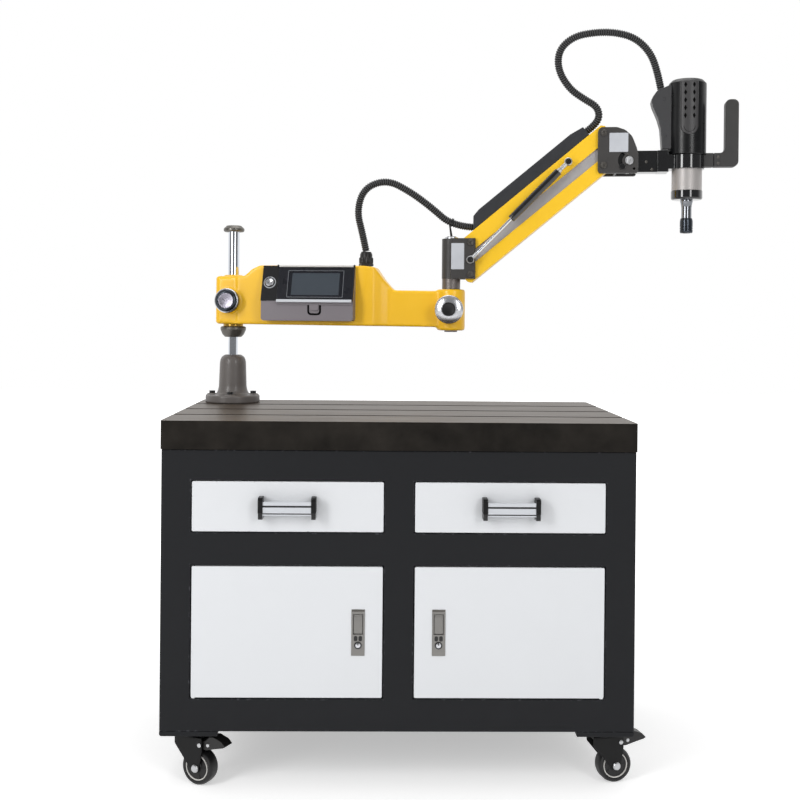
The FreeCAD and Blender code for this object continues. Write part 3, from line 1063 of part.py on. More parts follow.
def make_tapping_head():
    """Gearbox and motor, their housing and vent panel, cable box, nose ring, spindle, sleeve, handle."""
    shaft_bore = rod("spindle_radius + running", (0, 0, "-gear_low - 1"), 15)
    gearbox = cut(rod("gear_radius", (0, 0, "-gear_low"), "gear_low + gear_high"), shaft_bore)
    motor = rod("motor_radius", (0, 0, "gear_high"), "motor_length")
    subpart("gear_motor", group(gearbox, motor, where=HEAD))

    shell = turned([("gear_radius", "clamp_high"), ("body_radius", "clamp_high"),
                    ("body_radius", "body_top - body_chamfer"), ("body_radius - body_chamfer", "body_top"),
                    (0, "body_top"), (0, "body_top - body_wall"),
                    ("body_radius - body_chamfer", "body_top - body_wall"),
                    ("body_radius - body_wall", "body_top - body_chamfer - body_wall"),
                    ("body_radius - body_wall", "clamp_high + body_wall"),
                    ("gear_radius", "clamp_high + body_wall")])
    vent = common(ring("body_radius", "body_radius + vent_thickness", "vent_low", "vent_high - 5"),
                  box(("-vent_half", "-body_radius - 5", 0), ("vent_half", "-body_radius / 2", "body_top")))
    subpart("motor_housing", group(shell, vent, where=HEAD))
    subpart("nose_ring", turned([("spindle_radius + play", "-nose_low"), ("nose_radius - 4", "-nose_low"),
                                 ("nose_radius", "-nose_low + 4"), ("nose_radius", "-gear_low"),
                                 ("spindle_radius + play", "-gear_low")], HEAD))
    subpart("spindle", turned([(0, "-gear_low + 12"), ("spindle_radius", "-gear_low + 12"),
                               ("spindle_radius", "-nose_low - play"),
                               ("spindle_radius + 2.8", "-nose_low - play"),
                               ("spindle_radius + 2.8", "-nose_low - 5"),
                               ("spindle_radius", "-nose_low - 20"), ("spindle_radius", "-spindle_low"),
                               ("adapter_bore", "-spindle_low"),
                               ("adapter_bore", "-spindle_low + adapter_depth"),
                               (0, "-spindle_low + adapter_depth")], HEAD))
    subpart("chuck_sleeve", ring("spindle_radius + running", "sleeve_radius", "-spindle_low",
                                 "-spindle_low + sleeve_length", HEAD))
    outline = [(-38, 29.7), (-38, 187), (-53, 180.5), (-73.5, 171.5), (-84, 157), (-87.5, 146), (-84, 133),
               (-72, 105), (-65, 81), (-61, 29.7)]
    subpart("cable_box", cut(plate(outline, "cable_box_half"),
                             rod("body_radius", (0, 0, 0), "body_top + 10"), where=HEAD))
    block = cut(box(("clamp_radius - 6", "-grip_half - 2", "-grip_low"),
                    ("grip_split", "grip_half + 2", "clamp_high")),
                rod("clamp_radius", (0, 0, -50), 100))
    grip = plate([("grip_split", "-grip_low"), ("grip_right", "-grip_low"), ("grip_right", "grip_top - 8"),
                  ("grip_right - 8", "grip_top"), ("grip_left + 8", "grip_top"),
                  ("grip_left", "grip_top - 8"), ("grip_left", "grip_bar + 18"),
                  ("grip_left - 8", "grip_bar + 4"), ("grip_left - 18", "grip_bar"),
                  ("grip_split", "grip_bar")], "grip_half")
    subpart("head_handle", group(block, grip, where=HEAD))


# ---------------------------------------------------------------- conduits

# Centre lines in the plane of the arm: distance from the column axis, height above the table.
ARM_CONDUIT = [(340.4, 384), (331, 428), (316, 485), (334, 543), (392, 563), (450, 533), (503, 494),
               (556, 447.5), (608.3, 443.9)]
HEAD_CONDUIT = [(883, 677.7), (903, 693), (916, 715), (908, 740), (879, 757), (842, 783), (813, 831),
                (815, 880), (851, 912), (902, 921), (952, 920), (999, 906), (1035, 871), (1053, 824),
                (1061.8, 779.7)]


def conduit(label, route):
    """A tube along straight runs joined by the largest arcs that the runs have room for."""
    points = [FreeCAD.Vector(x, 0, z) for x, z in route]
    edges, radii = [], []
    cursor = points[0]
    for before, corner, after in zip(points, points[1:], points[2:]):
        into, out = corner - before, after - corner
        turn = into.getAngle(out)
        trim = 0.45 * min(into.Length, out.Length)
        radius = trim / math.tan(turn / 2)
        radii.append(radius)
        start = corner - into.normalize() * trim
        finish = corner + out.normalize() * trim
        to_centre = (start + finish) * 0.5 - corner
        centre = corner + to_centre.normalize() * math.hypot(radius, trim)
        middle = centre + (corner - centre).normalize() * radius
        edges.append(Part.LineSegment(cursor, start).toShape())
        edges.append(Part.Arc(start, middle, finish).toShape())
        cursor = finish
    edges.append(Part.LineSegment(cursor, points[-1]).toShape())
    wire = Part.Wire(edges)
    section = Part.Wire([Part.makeCircle(size("conduit_radius"), points[0], points[1] - points[0])])
    tube = wire.makePipeShell([section], True, False, 1)
    expected = wire.Length * math.pi * size("conduit_radius") ** 2
    print(f"{label}: length {wire.Length:.1f} mm, volume {tube.Volume / expected:.5f} of section x length,",
          "radii", " ".join(f"{radius:.0f}" for radius in radii))
    item = DOCUMENT.addObject("Part::Feature", "Conduit")
    item.Shape = tube
    subpart(label, place(item, ARM))


def check():
    """Stop if an object failed or a sub-part has no valid shape."""
    for item in DOCUMENT.Objects:
        if {"Invalid", "Error"} & set(item.State):
            raise RuntimeError(f"{item.Name} ({item.Label}) failed: {item.State}")
    for item in SUBPARTS:
        if item.Shape.isNull() or not item.Shape.isValid() or not item.Shape.Solids:
            raise RuntimeError(f"{item.Label} has no valid shape")


def build():
    fill_sheet()
    make_table()
    make_cabinet()
    for name, side in (("left", -1), ("right", 1)):
        make_drawer(name, side)
        make_door(name, side)
    make_casters()
    make_column()
    make_casting()
    make_controls()
    make_knob("column_knob", 0, "knob_height", "head_width / 2 + 9", "knob_radius",
              "(-column_radius - bush_wall - 1)")
    make_knob("arm2_knob", "arm1_reach", "arm2_knob_height", "boss_radius + 11", "arm2_knob_radius",
              "(-shaft_radius - 1)")
    make_pivot()
    make_links()
    make_struts()
    make_end_block()
    make_tilt_bracket()
    make_tapping_head()
    conduit("arm_conduit", ARM_CONDUIT)
    conduit("head_conduit", HEAD_CONDUIT)
    DOCUMENT.recompute()
    check()
    os.makedirs("parts", exist_ok=True)
    for item in SUBPARTS:
        item.Shape.exportStep(f"parts/{item.Label}.step")
    print(len(SUBPARTS), "sub-parts,", sum(len(item.Shape.Solids) for item in SUBPARTS), "solids")


build()
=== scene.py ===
import json
import math

import bmesh
import bpy
import numpy as np
from mathutils import Matrix, Vector

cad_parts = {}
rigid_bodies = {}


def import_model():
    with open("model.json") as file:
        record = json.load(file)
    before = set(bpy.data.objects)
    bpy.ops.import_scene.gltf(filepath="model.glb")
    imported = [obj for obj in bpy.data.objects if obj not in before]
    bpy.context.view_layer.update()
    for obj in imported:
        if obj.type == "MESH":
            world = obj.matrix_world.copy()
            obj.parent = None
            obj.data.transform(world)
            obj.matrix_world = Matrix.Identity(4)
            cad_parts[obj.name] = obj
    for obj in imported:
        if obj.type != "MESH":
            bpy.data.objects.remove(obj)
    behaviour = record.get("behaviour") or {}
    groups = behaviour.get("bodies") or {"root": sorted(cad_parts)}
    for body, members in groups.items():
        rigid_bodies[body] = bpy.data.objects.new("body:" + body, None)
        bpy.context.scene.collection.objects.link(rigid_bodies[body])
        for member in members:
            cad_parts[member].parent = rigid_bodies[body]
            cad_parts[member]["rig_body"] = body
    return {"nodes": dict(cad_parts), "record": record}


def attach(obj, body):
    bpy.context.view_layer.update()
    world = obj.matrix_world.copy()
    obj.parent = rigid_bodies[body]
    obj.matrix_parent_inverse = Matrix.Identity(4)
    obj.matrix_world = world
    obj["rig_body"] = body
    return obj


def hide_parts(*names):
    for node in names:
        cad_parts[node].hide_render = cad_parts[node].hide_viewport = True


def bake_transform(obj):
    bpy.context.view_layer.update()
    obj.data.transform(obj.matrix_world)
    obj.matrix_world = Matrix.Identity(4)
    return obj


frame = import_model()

SCENE = bpy.context.scene
NODES = frame["nodes"]
SLOTS = {row["node"]: row["material_slot"] for row in frame["record"]["subparts"]}
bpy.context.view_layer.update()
MM = Matrix.Scale(0.001, 4)
TAU = 2 * math.pi


# ---------------------------------------------------------------- places, in millimetres


def place(x=0, y=0, z=0, axis=None, degrees=0):
    """A move, and then a turn about an axis."""
    moved = Matrix.Translation((x, y, z))
    return moved @ Matrix.Rotation(math.radians(degrees), 4, axis) if axis else moved


LIFT = 39.7  # degrees, of the links over the floor
LINK_LENGTH = 415
UPPER_PIN, STRUT_PIN, LOWER_PIN = 404, 361, 326  # heights in the pivot block
PIVOT_X, PIN_X = 555, 50  # from the column to the pivot, and from there to those pins
STUD_AT = 305  # from the upper pin to the struts' studs
BENCH = place(-158.9165, 13)
ARM = BENCH @ place(-417, 225, 777, "Z", -8)
PIVOT = ARM @ place(PIVOT_X)
PANEL = ARM @ place(90, -46, 344, "X", -19.98)
UPPER = ARM @ place(PIVOT_X + PIN_X, 0, UPPER_PIN, "Y", -LIFT)
END = UPPER @ place(LINK_LENGTH, 0, 0, "Y", LIFT)
TILT = END @ place(60.5, 0, -67.5)
HEAD = END @ place(201, 0, -67.5)
STRUT_RUN = STUD_AT * math.cos(math.radians(LIFT))
STRUT_RISE = STUD_AT * math.sin(math.radians(LIFT)) + UPPER_PIN - STRUT_PIN
STRUT_LENGTH = math.hypot(STRUT_RUN, STRUT_RISE)
STRUT = (UPPER @ place(STUD_AT, 0, 0, "Y", 180 + LIFT)
         @ place(axis="Y", degrees=-math.degrees(math.atan(STRUT_RISE / STRUT_RUN))))


def metres(where, point):
    """A point that is given in a place, in metres."""
    return MM @ where @ Vector(point)


# ---------------------------------------------------------------- camera, lights, floor


def make_camera():
    """The camera stands where a fit to the corners of the table and the cabinet puts it."""
    data = bpy.data.cameras.new("camera")
    data.sensor_width = 36
    data.lens = 50.76
    data.shift_y = -0.10
    data.clip_start = 0.05
    data.clip_end = 60
    camera = bpy.data.objects.new("camera", data)
    SCENE.collection.objects.link(camera)
    yaw, pitch, roll = 0.0193, 0.0035, 0.009
    ahead = Vector((math.sin(yaw) * math.cos(pitch), math.cos(yaw) * math.cos(pitch), -math.sin(pitch)))
    right = ahead.cross(Vector((0, 0, 1))).normalized()
    up = right.cross(ahead)
    turned_right = right * math.cos(roll) + up * math.sin(roll)
    turned_up = up * math.cos(roll) - right * math.sin(roll)
    turn = Matrix((turned_right, turned_up, -ahead)).transposed().to_4x4()
    camera.matrix_world = Matrix.Translation((-0.2069, -2.6434, 0.9988)) @ turn
    SCENE.camera = camera


def node(tree, kind, inputs=(), **props):
    """A shader node. An input is a value, or the socket that it is linked to."""
    item = tree.nodes.new("ShaderNode" + kind)
    for key, value in props.items():
        setattr(item, key, value)
    for key, value in dict(inputs).items():
        socket = item.inputs[key]
        if isinstance(value, bpy.types.NodeSocket):
            tree.links.new(value, socket)
        else:
            socket.default_value = value
    return item


def mix(tree, share, one, two):
    """A colour between two others."""
    return node(tree, "Mix", {0: share, 6: one, 7: two}, data_type="RGBA").outputs[2]


def noise(tree, where, scale, detail, rough=0.5):
    return node(tree, "TexNoise", {"Vector": where, "Scale": scale, "Detail": detail,
                                   "Roughness": rough}).outputs["Fac"]


def maths(tree, operation, one, two):
    return node(tree, "Math", {0: one, 1: two}, operation=operation).outputs[0]


def ramp(tree, value, low, high, first=0.0, last=1.0):
    """Goes from first to last while the value goes from low to high."""
    return node(tree, "MapRange", {0: value, 1: low, 2: high, 3: first, 4: last}).outputs[0]


def area_light(name, spot, target, width, height, watts, color=(1, 1, 1)):
    data = bpy.data.lights.new(name, "AREA")
    data.shape = "RECTANGLE"
    data.size = width
    data.size_y = height
    data.energy = watts
    data.color = color
    lamp = bpy.data.objects.new(name, data)
    SCENE.collection.objects.link(lamp)
    lamp.location = spot
    lamp.rotation_euler = (Vector(target) - Vector(spot)).to_track_quat("-Z", "Y").to_euler()


def make_studio():
    """White surroundings for the camera, a plain level of light for the object, three lamps."""
    SCENE.view_settings.view_transform = "Standard"
    world = bpy.data.worlds.new("studio")
    SCENE.world = world
    world.use_nodes = True
    tree = world.node_tree
    tree.nodes.clear()
    coordinates = node(tree, "TexCoord").outputs["Generated"]
    axes = node(tree, "SeparateXYZ", {0: coordinates})
    behind = node(tree, "MapRange", {0: axes.outputs[1], 1: -0.35, 2: 0.25, 3: 0.22, 4: 1.0},
                  interpolation_type="SMOOTHSTEP").outputs[0]
    above = ramp(tree, axes.outputs[2], 0.1, 0.9, 0.0, 0.45)
    room = maths(tree, "MAXIMUM", behind, above)
    rays = node(tree, "LightPath")
    seen = maths(tree, "MAXIMUM", rays.outputs["Is Glossy Ray"], rays.outputs["Is Transmission Ray"])
    lighting = node(tree, "Mix", {0: seen, 2: 0.60, 3: room}, data_type="FLOAT").outputs[0]
    strength = node(tree, "Mix", {0: rays.outputs["Is Camera Ray"], 2: lighting, 3: 1.0},
                    data_type="FLOAT").outputs[0]
    background = node(tree, "Background", {"Color": (1, 1, 1, 1), "Strength": strength})
    output = node(tree, "OutputWorld")
    tree.links.new(background.outputs[0], output.inputs[0])

    area_light("key", (-2.35, -2.45, 2.0), (0.1, 0.0, 1.0), 0.8, 2.0, 44)
    area_light("fill", (1.25, -2.75, 1.9), (0.1, 0.0, 1.0), 0.55, 1.9, 20)
    area_light("top", (0.0, 0.4, 3.2), (0.0, 0.0, 0.8), 2.2, 1.4, 18)


def make_floor():
    """A white floor that keeps the object's shadow and fades to the white of the background."""
    bm = bmesh.new()
    edge = 12.0
    bm.faces.new([bm.verts.new(p) for p in ((-edge, -edge, 0), (edge, -edge, 0), (edge, edge, 0),
                                            (-edge, edge, 0))])
    mesh = bpy.data.meshes.new("floor")
    bm.to_mesh(mesh)
    floor = bpy.data.objects.new("floor", mesh)
    SCENE.collection.objects.link(floor)
    material = bpy.data.materials.new("floor_white")
    material.use_nodes = True
    tree = material.node_tree
    tree.nodes.clear()
    coordinates = node(tree, "TexCoord").outputs["Object"]
    cloud = noise(tree, coordinates, 1.5, 3.0)
    tone = mix(tree, cloud, (0.88, 0.88, 0.88, 1), (0.92, 0.92, 0.92, 1))
    matt = node(tree, "BsdfDiffuse", {"Color": tone}).outputs[0]
    rays = node(tree, "LightPath")
    away = node(tree, "VectorMath", {0: coordinates}, operation="LENGTH").outputs["Value"]
    fade = ramp(tree, away, 0.8, 2.4, 0.42, 1.0)
    direct = maths(tree, "MULTIPLY", rays.outputs["Is Camera Ray"], fade)
    mirrored = maths(tree, "MULTIPLY", rays.outputs["Is Glossy Ray"], 0.30)
    lift = maths(tree, "MAXIMUM", direct, mirrored)
    glow = node(tree, "Emission", {"Color": (1, 1, 1, 1), "Strength": lift}).outputs[0]
    lit = node(tree, "AddShader", {0: matt, 1: glow}).outputs[0]
    tree.links.new(lit, node(tree, "OutputMaterial").inputs[0])
    mesh.materials.append(material)


# ---------------------------------------------------------------- materials


FINISHES = {}


def linear(code, factor=1.0):
    """The colour of a hex code, made lighter or darker by a factor, as Blender counts it."""
    parts = [int(code[i:i + 2], 16) / 255 for i in (0, 2, 4)]
    parts = [p / 12.92 if p <= 0.04045 else ((p + 0.055) / 1.055) ** 2.4 for p in parts]
    return (*[min(1.0, p * factor) for p in parts], 1.0)


def surface(name, color, rough=(0.35, 0.45), metal=0.0, vary=0.10, cloud=9.0, grain=900.0, depth=0.00004,
            strength=0.25, stretch=(1, 1, 1), worn=None, wear=0.5, **shader):
    """A finish with cloudy colour, uneven roughness, a fine bump and edges that are worn through."""
    material = bpy.data.materials.new(name)
    material.use_nodes = True
    tree = material.node_tree
    principled = tree.nodes["Principled BSDF"]
    coordinates = node(tree, "TexCoord").outputs["Object"]
    drawn = node(tree, "VectorMath", {0: coordinates, 1: stretch}, operation="MULTIPLY").outputs[0]
    clouds = noise(tree, drawn, cloud, 5.0, 0.6)
    fine = noise(tree, drawn, grain, 2.0)
    tone = mix(tree, clouds, linear(color, 1 - vary), linear(color, 1 + vary))
    uneven = noise(tree, coordinates, cloud * 4, 3.0)
    roughness = ramp(tree, uneven, 0.3, 0.7, rough[0], rough[1])
    if worn:
        edge = node(tree, "Attribute", attribute_name="edge").outputs["Fac"]
        chips = noise(tree, coordinates, 130.0, 4.0)
        mask = ramp(tree, chips, 0.62 - 0.14 * wear, 0.72 - 0.1 * wear)
        mask = maths(tree, "MULTIPLY", mask, edge)
        tone = mix(tree, mask, tone, linear(worn))
    if strength:
        bump = node(tree, "Bump", {"Strength": strength, "Distance": depth, "Height": fine}).outputs[0]
        tree.links.new(bump, principled.inputs["Normal"])
    tree.links.new(tone, principled.inputs["Base Color"])
    tree.links.new(roughness, principled.inputs["Roughness"])
    principled.inputs["Metallic"].default_value = metal
    for key, value in shader.items():
        principled.inputs[key.replace("_", " ")].default_value = value
    FINISHES[name] = material


def make_materials():
    """Every finish of the machine."""
    surface("yellow_paint", "fdc414", (0.30, 0.38), vary=0.04, grain=300, depth=0.00006, strength=0.10,
            worn="9a6a10", wear=0.2, Coat_Weight=0.2, Coat_Roughness=0.25)
    surface("yellow_steel_paint", "ffca0e", (0.34, 0.42), vary=0.03, grain=600, strength=0.12, worn="8a6012",
            wear=0.15, Coat_Weight=0.2, Coat_Roughness=0.2)
    surface("black_powder_coat", "18191c", (0.46, 0.54), vary=0.07, cloud=5, grain=1500, depth=0.00008,
            strength=0.4, worn="3c3d41", wear=0.3, Specular_IOR_Level=0.22)
    surface("white_enamel", "dcdee1", (0.30, 0.36), vary=0.012, grain=700, strength=0.12, worn="b0b1b4",
            wear=0.1, Coat_Weight=0.2, Coat_Roughness=0.15)
    surface("zinc_steel", "c9cacc", (0.28, 0.42), 1.0, vary=0.12, cloud=30, grain=1400)
    surface("hard_chrome", "dfe3ea", (0.04, 0.08), 1.0, vary=0.03, strength=0)
    surface("spindle_steel", "8f9297", (0.08, 0.14), 1.0, vary=0.06, strength=0)
    surface("satin_chrome", "cfd0d4", (0.22, 0.30), 1.0, vary=0.05, strength=0)
    surface("chrome_disc", "9c99a4", (0.22, 0.40), 1.0, vary=0.16, cloud=60, strength=0.1)
    surface("blued_steel", "40454c", (0.16, 0.26), 0.85, vary=0.15, cloud=30, strength=0, worn="8a8d92",
            wear=0.25)
    surface("blackened_steel", "6a6762", (0.30, 0.42), 0.7, vary=0.14, cloud=25, strength=0.08, worn="9b9b9d",
            wear=0.4)
    surface("black_oxide_screw", "5f5c58", (0.28, 0.40), 0.8, vary=0.15, cloud=40, strength=0.1,
            worn="a8a6a3", wear=0.8)
    surface("brushed_steel", "7d7774", (0.38, 0.48), 0.9, cloud=60, grain=2200, stretch=(1, 1, 0.04),
            strength=0.2)
    surface("brushed_latch", "858380", (0.42, 0.52), 0.35, cloud=60, grain=2200, stretch=(0.04, 1, 1),
            strength=0.3)
    surface("grey_casting_paint", "625d5a", (0.36, 0.48), grain=260, depth=0.00025, strength=0.3,
            worn="8a8682", wear=0.25, Coat_Weight=0.15)
    surface("dark_paint", "383635", (0.38, 0.48), vary=0.08, grain=800, depth=0.00006, strength=0.3,
            worn="6d6a68", wear=0.3)
    surface("gloss_black", "0a0b0e", (0.10, 0.16), vary=0.2, strength=0, worn="2c2c2e", wear=0.2,
            Coat_Weight=1.0, Coat_Roughness=0.04)
    surface("caster_black", "0d0d0e", (0.34, 0.44), vary=0.2, strength=0.1, worn="2c2c2e", wear=0.3,
            Specular_IOR_Level=0.25)
    surface("housing_black", "08090b", (0.26, 0.34), vary=0.2, grain=1600, depth=0.00003, strength=0.1,
            Specular_IOR_Level=0.42)
    # painted shade: a near-black flush finish that stands for the dark inside of holes and recesses
    surface("painted_hole_shade", "050505", (0.7, 0.8), vary=0.3, strength=0.1, Specular_IOR_Level=0.05)
    surface("satin_black", "121213", (0.26, 0.36), vary=0.15, grain=1000, strength=0.1, worn="3a3a3c",
            wear=0.2)
    surface("black_plastic", "2b2a29", (0.42, 0.52), vary=0.08, grain=1200, depth=0.00005, strength=0.3,
            worn="4a4847", wear=0.25)
    surface("dark_plastic", "151414", (0.34, 0.44), vary=0.12, grain=1200, depth=0.00005, worn="3c3b3b",
            wear=0.25)
    surface("box_grey", "7b757a", (0.38, 0.46), vary=0.05, cloud=6, grain=1100, depth=0.00005, worn="9a959a",
            wear=0.25)
    surface("cable_box_grey", "343436", (0.36, 0.44), vary=0.06, grain=1100, depth=0.00005, worn="6a666a",
            wear=0.25)
    surface("vent_grey", "3a393a", (0.38, 0.46), vary=0.05, grain=1300, depth=0.00005, worn="5a595a",
            wear=0.2)
    surface("cover_grey", "24262b", (0.42, 0.55), vary=0.12, cloud=14, depth=0.00006, strength=0.3,
            worn="63656a", wear=0.3)
    surface("conduit_plastic", "3a3a3b", (0.34, 0.44), vary=0.12, grain=1500, strength=0.2)
    # painted shade: a near-black finish for the valleys between the conduit's ribs
    surface("conduit_valley_painted_shade", "0b0b0c", (0.5, 0.6), vary=0.12, grain=1500, strength=0.2)
    surface("shield_grey", "aaa7a8", (0.38, 0.48), 0.15, vary=0.05, grain=1000, strength=0.2)
    surface("matte_silver", "b4b0ae", (0.42, 0.50), 0.55, vary=0.04, grain=1800, stretch=(1, 1, 0.1),
            strength=0.12)
    # pale metal for the handle bar and button ring, and a painted highlight on the lip of the screen cover
    surface("pale_metal_and_painted_highlight", "cdd0d5", (0.34, 0.42), 0.25, vary=0.04, grain=1500, strength=0.05)
    table_material("table_planed_top", "2a211a", "5c5145", "43372c", (0.30, 0.46), 0.0002, (1, 26, 26), 9.0,
                   0.36)
    table_material("table_cast_side", "050504", "1b1917", "37332f", (0.34, 0.52), 0.0003, (1, 1, 1), 60.0,
                   0.14)
    surface("plain_plate", "c9ccd2", (0.3, 0.4), 0.2, vary=0.04, grain=1500, strength=0.08)
    surface("smoked_cover", "1b1c22", (0.05, 0.09), vary=0.2, strength=0, Alpha=0.22)
    surface("screen_surround", "24262e", (0.26, 0.34), vary=0.08, strength=0.1)
    surface("screen_dark", "252830", (0.10, 0.16), cloud=20, strength=0)
    surface("screen_display", "66707a", (0.14, 0.20), vary=0.06, cloud=12, strength=0)
    surface("screen_line", "b9bdc4", (0.3, 0.4), 0.2, vary=0.05, strength=0)
    surface("tyre", "0e0e0f", (0.36, 0.46), vary=0.15, grain=800)
    surface("pale_ring", "cfcdc9", (0.35, 0.45), vary=0.05, strength=0.15)
    surface("bronze", "b08d45", (0.25, 0.35), 1.0, vary=0.08)


def table_material(name, dark, light, stain, rough, depth, stretch, scale, shine):
    """Cast iron: streaked or speckled, with stains, and bare along its edges."""
    material = bpy.data.materials.new(name)
    material.use_nodes = True
    tree = material.node_tree
    principled = tree.nodes["Principled BSDF"]
    coordinates = node(tree, "TexCoord").outputs["Object"]
    drawn = node(tree, "VectorMath", {0: coordinates, 1: stretch}, operation="MULTIPLY").outputs[0]
    streaks = noise(tree, drawn, scale, 6.0, 0.65)
    blotch = noise(tree, coordinates, 7.0, 5.0)
    speckle = noise(tree, coordinates, 260.0, 3.0)
    tone = mix(tree, streaks, linear(dark), linear(light))
    stained = ramp(tree, blotch, 0.40, 0.68, 0.0, 0.55)
    tone = mix(tree, stained, tone, linear(stain))
    edge = node(tree, "Attribute", attribute_name="edge").outputs["Fac"]
    chips = ramp(tree, speckle, 0.45, 0.65)
    mask = maths(tree, "MULTIPLY", edge, chips)
    tone = mix(tree, mask, tone, linear("5d5653"))
    roughness = ramp(tree, streaks, 0.3, 0.7, rough[0], rough[1])
    bump = node(tree, "Bump", {"Strength": 0.35, "Distance": depth, "Height": streaks}).outputs[0]
    tree.links.new(tone, principled.inputs["Base Color"])
    tree.links.new(roughness, principled.inputs["Roughness"])
    tree.links.new(bump, principled.inputs["Normal"])
    principled.inputs["Metallic"].default_value = 0.15
    principled.inputs["Specular IOR Level"].default_value = shine
    principled.inputs["Specular Tint"].default_value = (0.95, 0.88, 0.82, 1)
    FINISHES[name] = material


# ---------------------------------------------------------------- mesh building


def hexagon(angle):
    """How far the outline reaches at an angle, as a share of its corners' radius."""
    step = angle % (TAU / 6) - TAU / 12
    return math.cos(TAU / 12) / math.cos(step)


def teeth(count, depth, turn=0.0):
    """The same for a knurled rim."""
    return lambda angle: 1 + depth * math.cos(count * angle + turn)


def corners(points, radius, steps=5):
    """The outline with round corners. The radius is one number, or one for each corner."""
    radii = radius if isinstance(radius, (list, tuple)) else [radius] * len(points)
    result = []
    for i, (x, y) in enumerate(points):
        here = Vector((x, y))
        before = Vector(points[i - 1]) - here
        after = Vector(points[(i + 1) % len(points)]) - here
        angle = before.angle(after)
        if radii[i] <= 0 or angle > 3.1:
            result.append((x, y))
            continue
        trim = min(radii[i] / math.tan(angle / 2), 0.48 * before.length, 0.48 * after.length)
        arc = trim * math.tan(angle / 2)
        first, last = here + before.normalized() * trim, here + after.normalized() * trim
        middle = here + (before.normalized() + after.normalized()).normalized() * math.hypot(arc, trim)
        start, end = first - middle, last - middle
        sweep = start.angle_signed(end)
        for k in range(steps + 1):
            spoke = start.copy()
            spoke.rotate(Matrix.Rotation(-sweep * k / steps, 2))
            result.append(tuple(middle + spoke))
    return result


def rectangle(left, low, right, high, radius=0, steps=5):
    points = [(left, low), (right, low), (right, high), (left, high)]
    return corners(points, radius, steps) if radius else points


CREASE = math.radians(30)


def sharp_edges(bm, limit):
    return [e for e in bm.edges if len(e.link_faces) == 2 and e.calc_face_angle(0) > limit]


def bevelled(bm, edges, width, segments, profile=0.6):
    """Rounds the edges and gives the faces that this made."""
    return bmesh.ops.bevel(bm, geom=edges, offset=width, segments=segments, profile=profile,
                           affect="EDGES", clamp_overlap=True, offset_type="OFFSET")["faces"]


AXES = {"z": Matrix(), "-z": Matrix.Rotation(TAU / 2, 4, "X"),
        "y": Matrix.Rotation(-TAU / 4, 4, "X"), "-y": Matrix.Rotation(TAU / 4, 4, "X"),
        "x": Matrix.Rotation(TAU / 4, 4, "Y"), "-x": Matrix.Rotation(-TAU / 4, 4, "Y")}


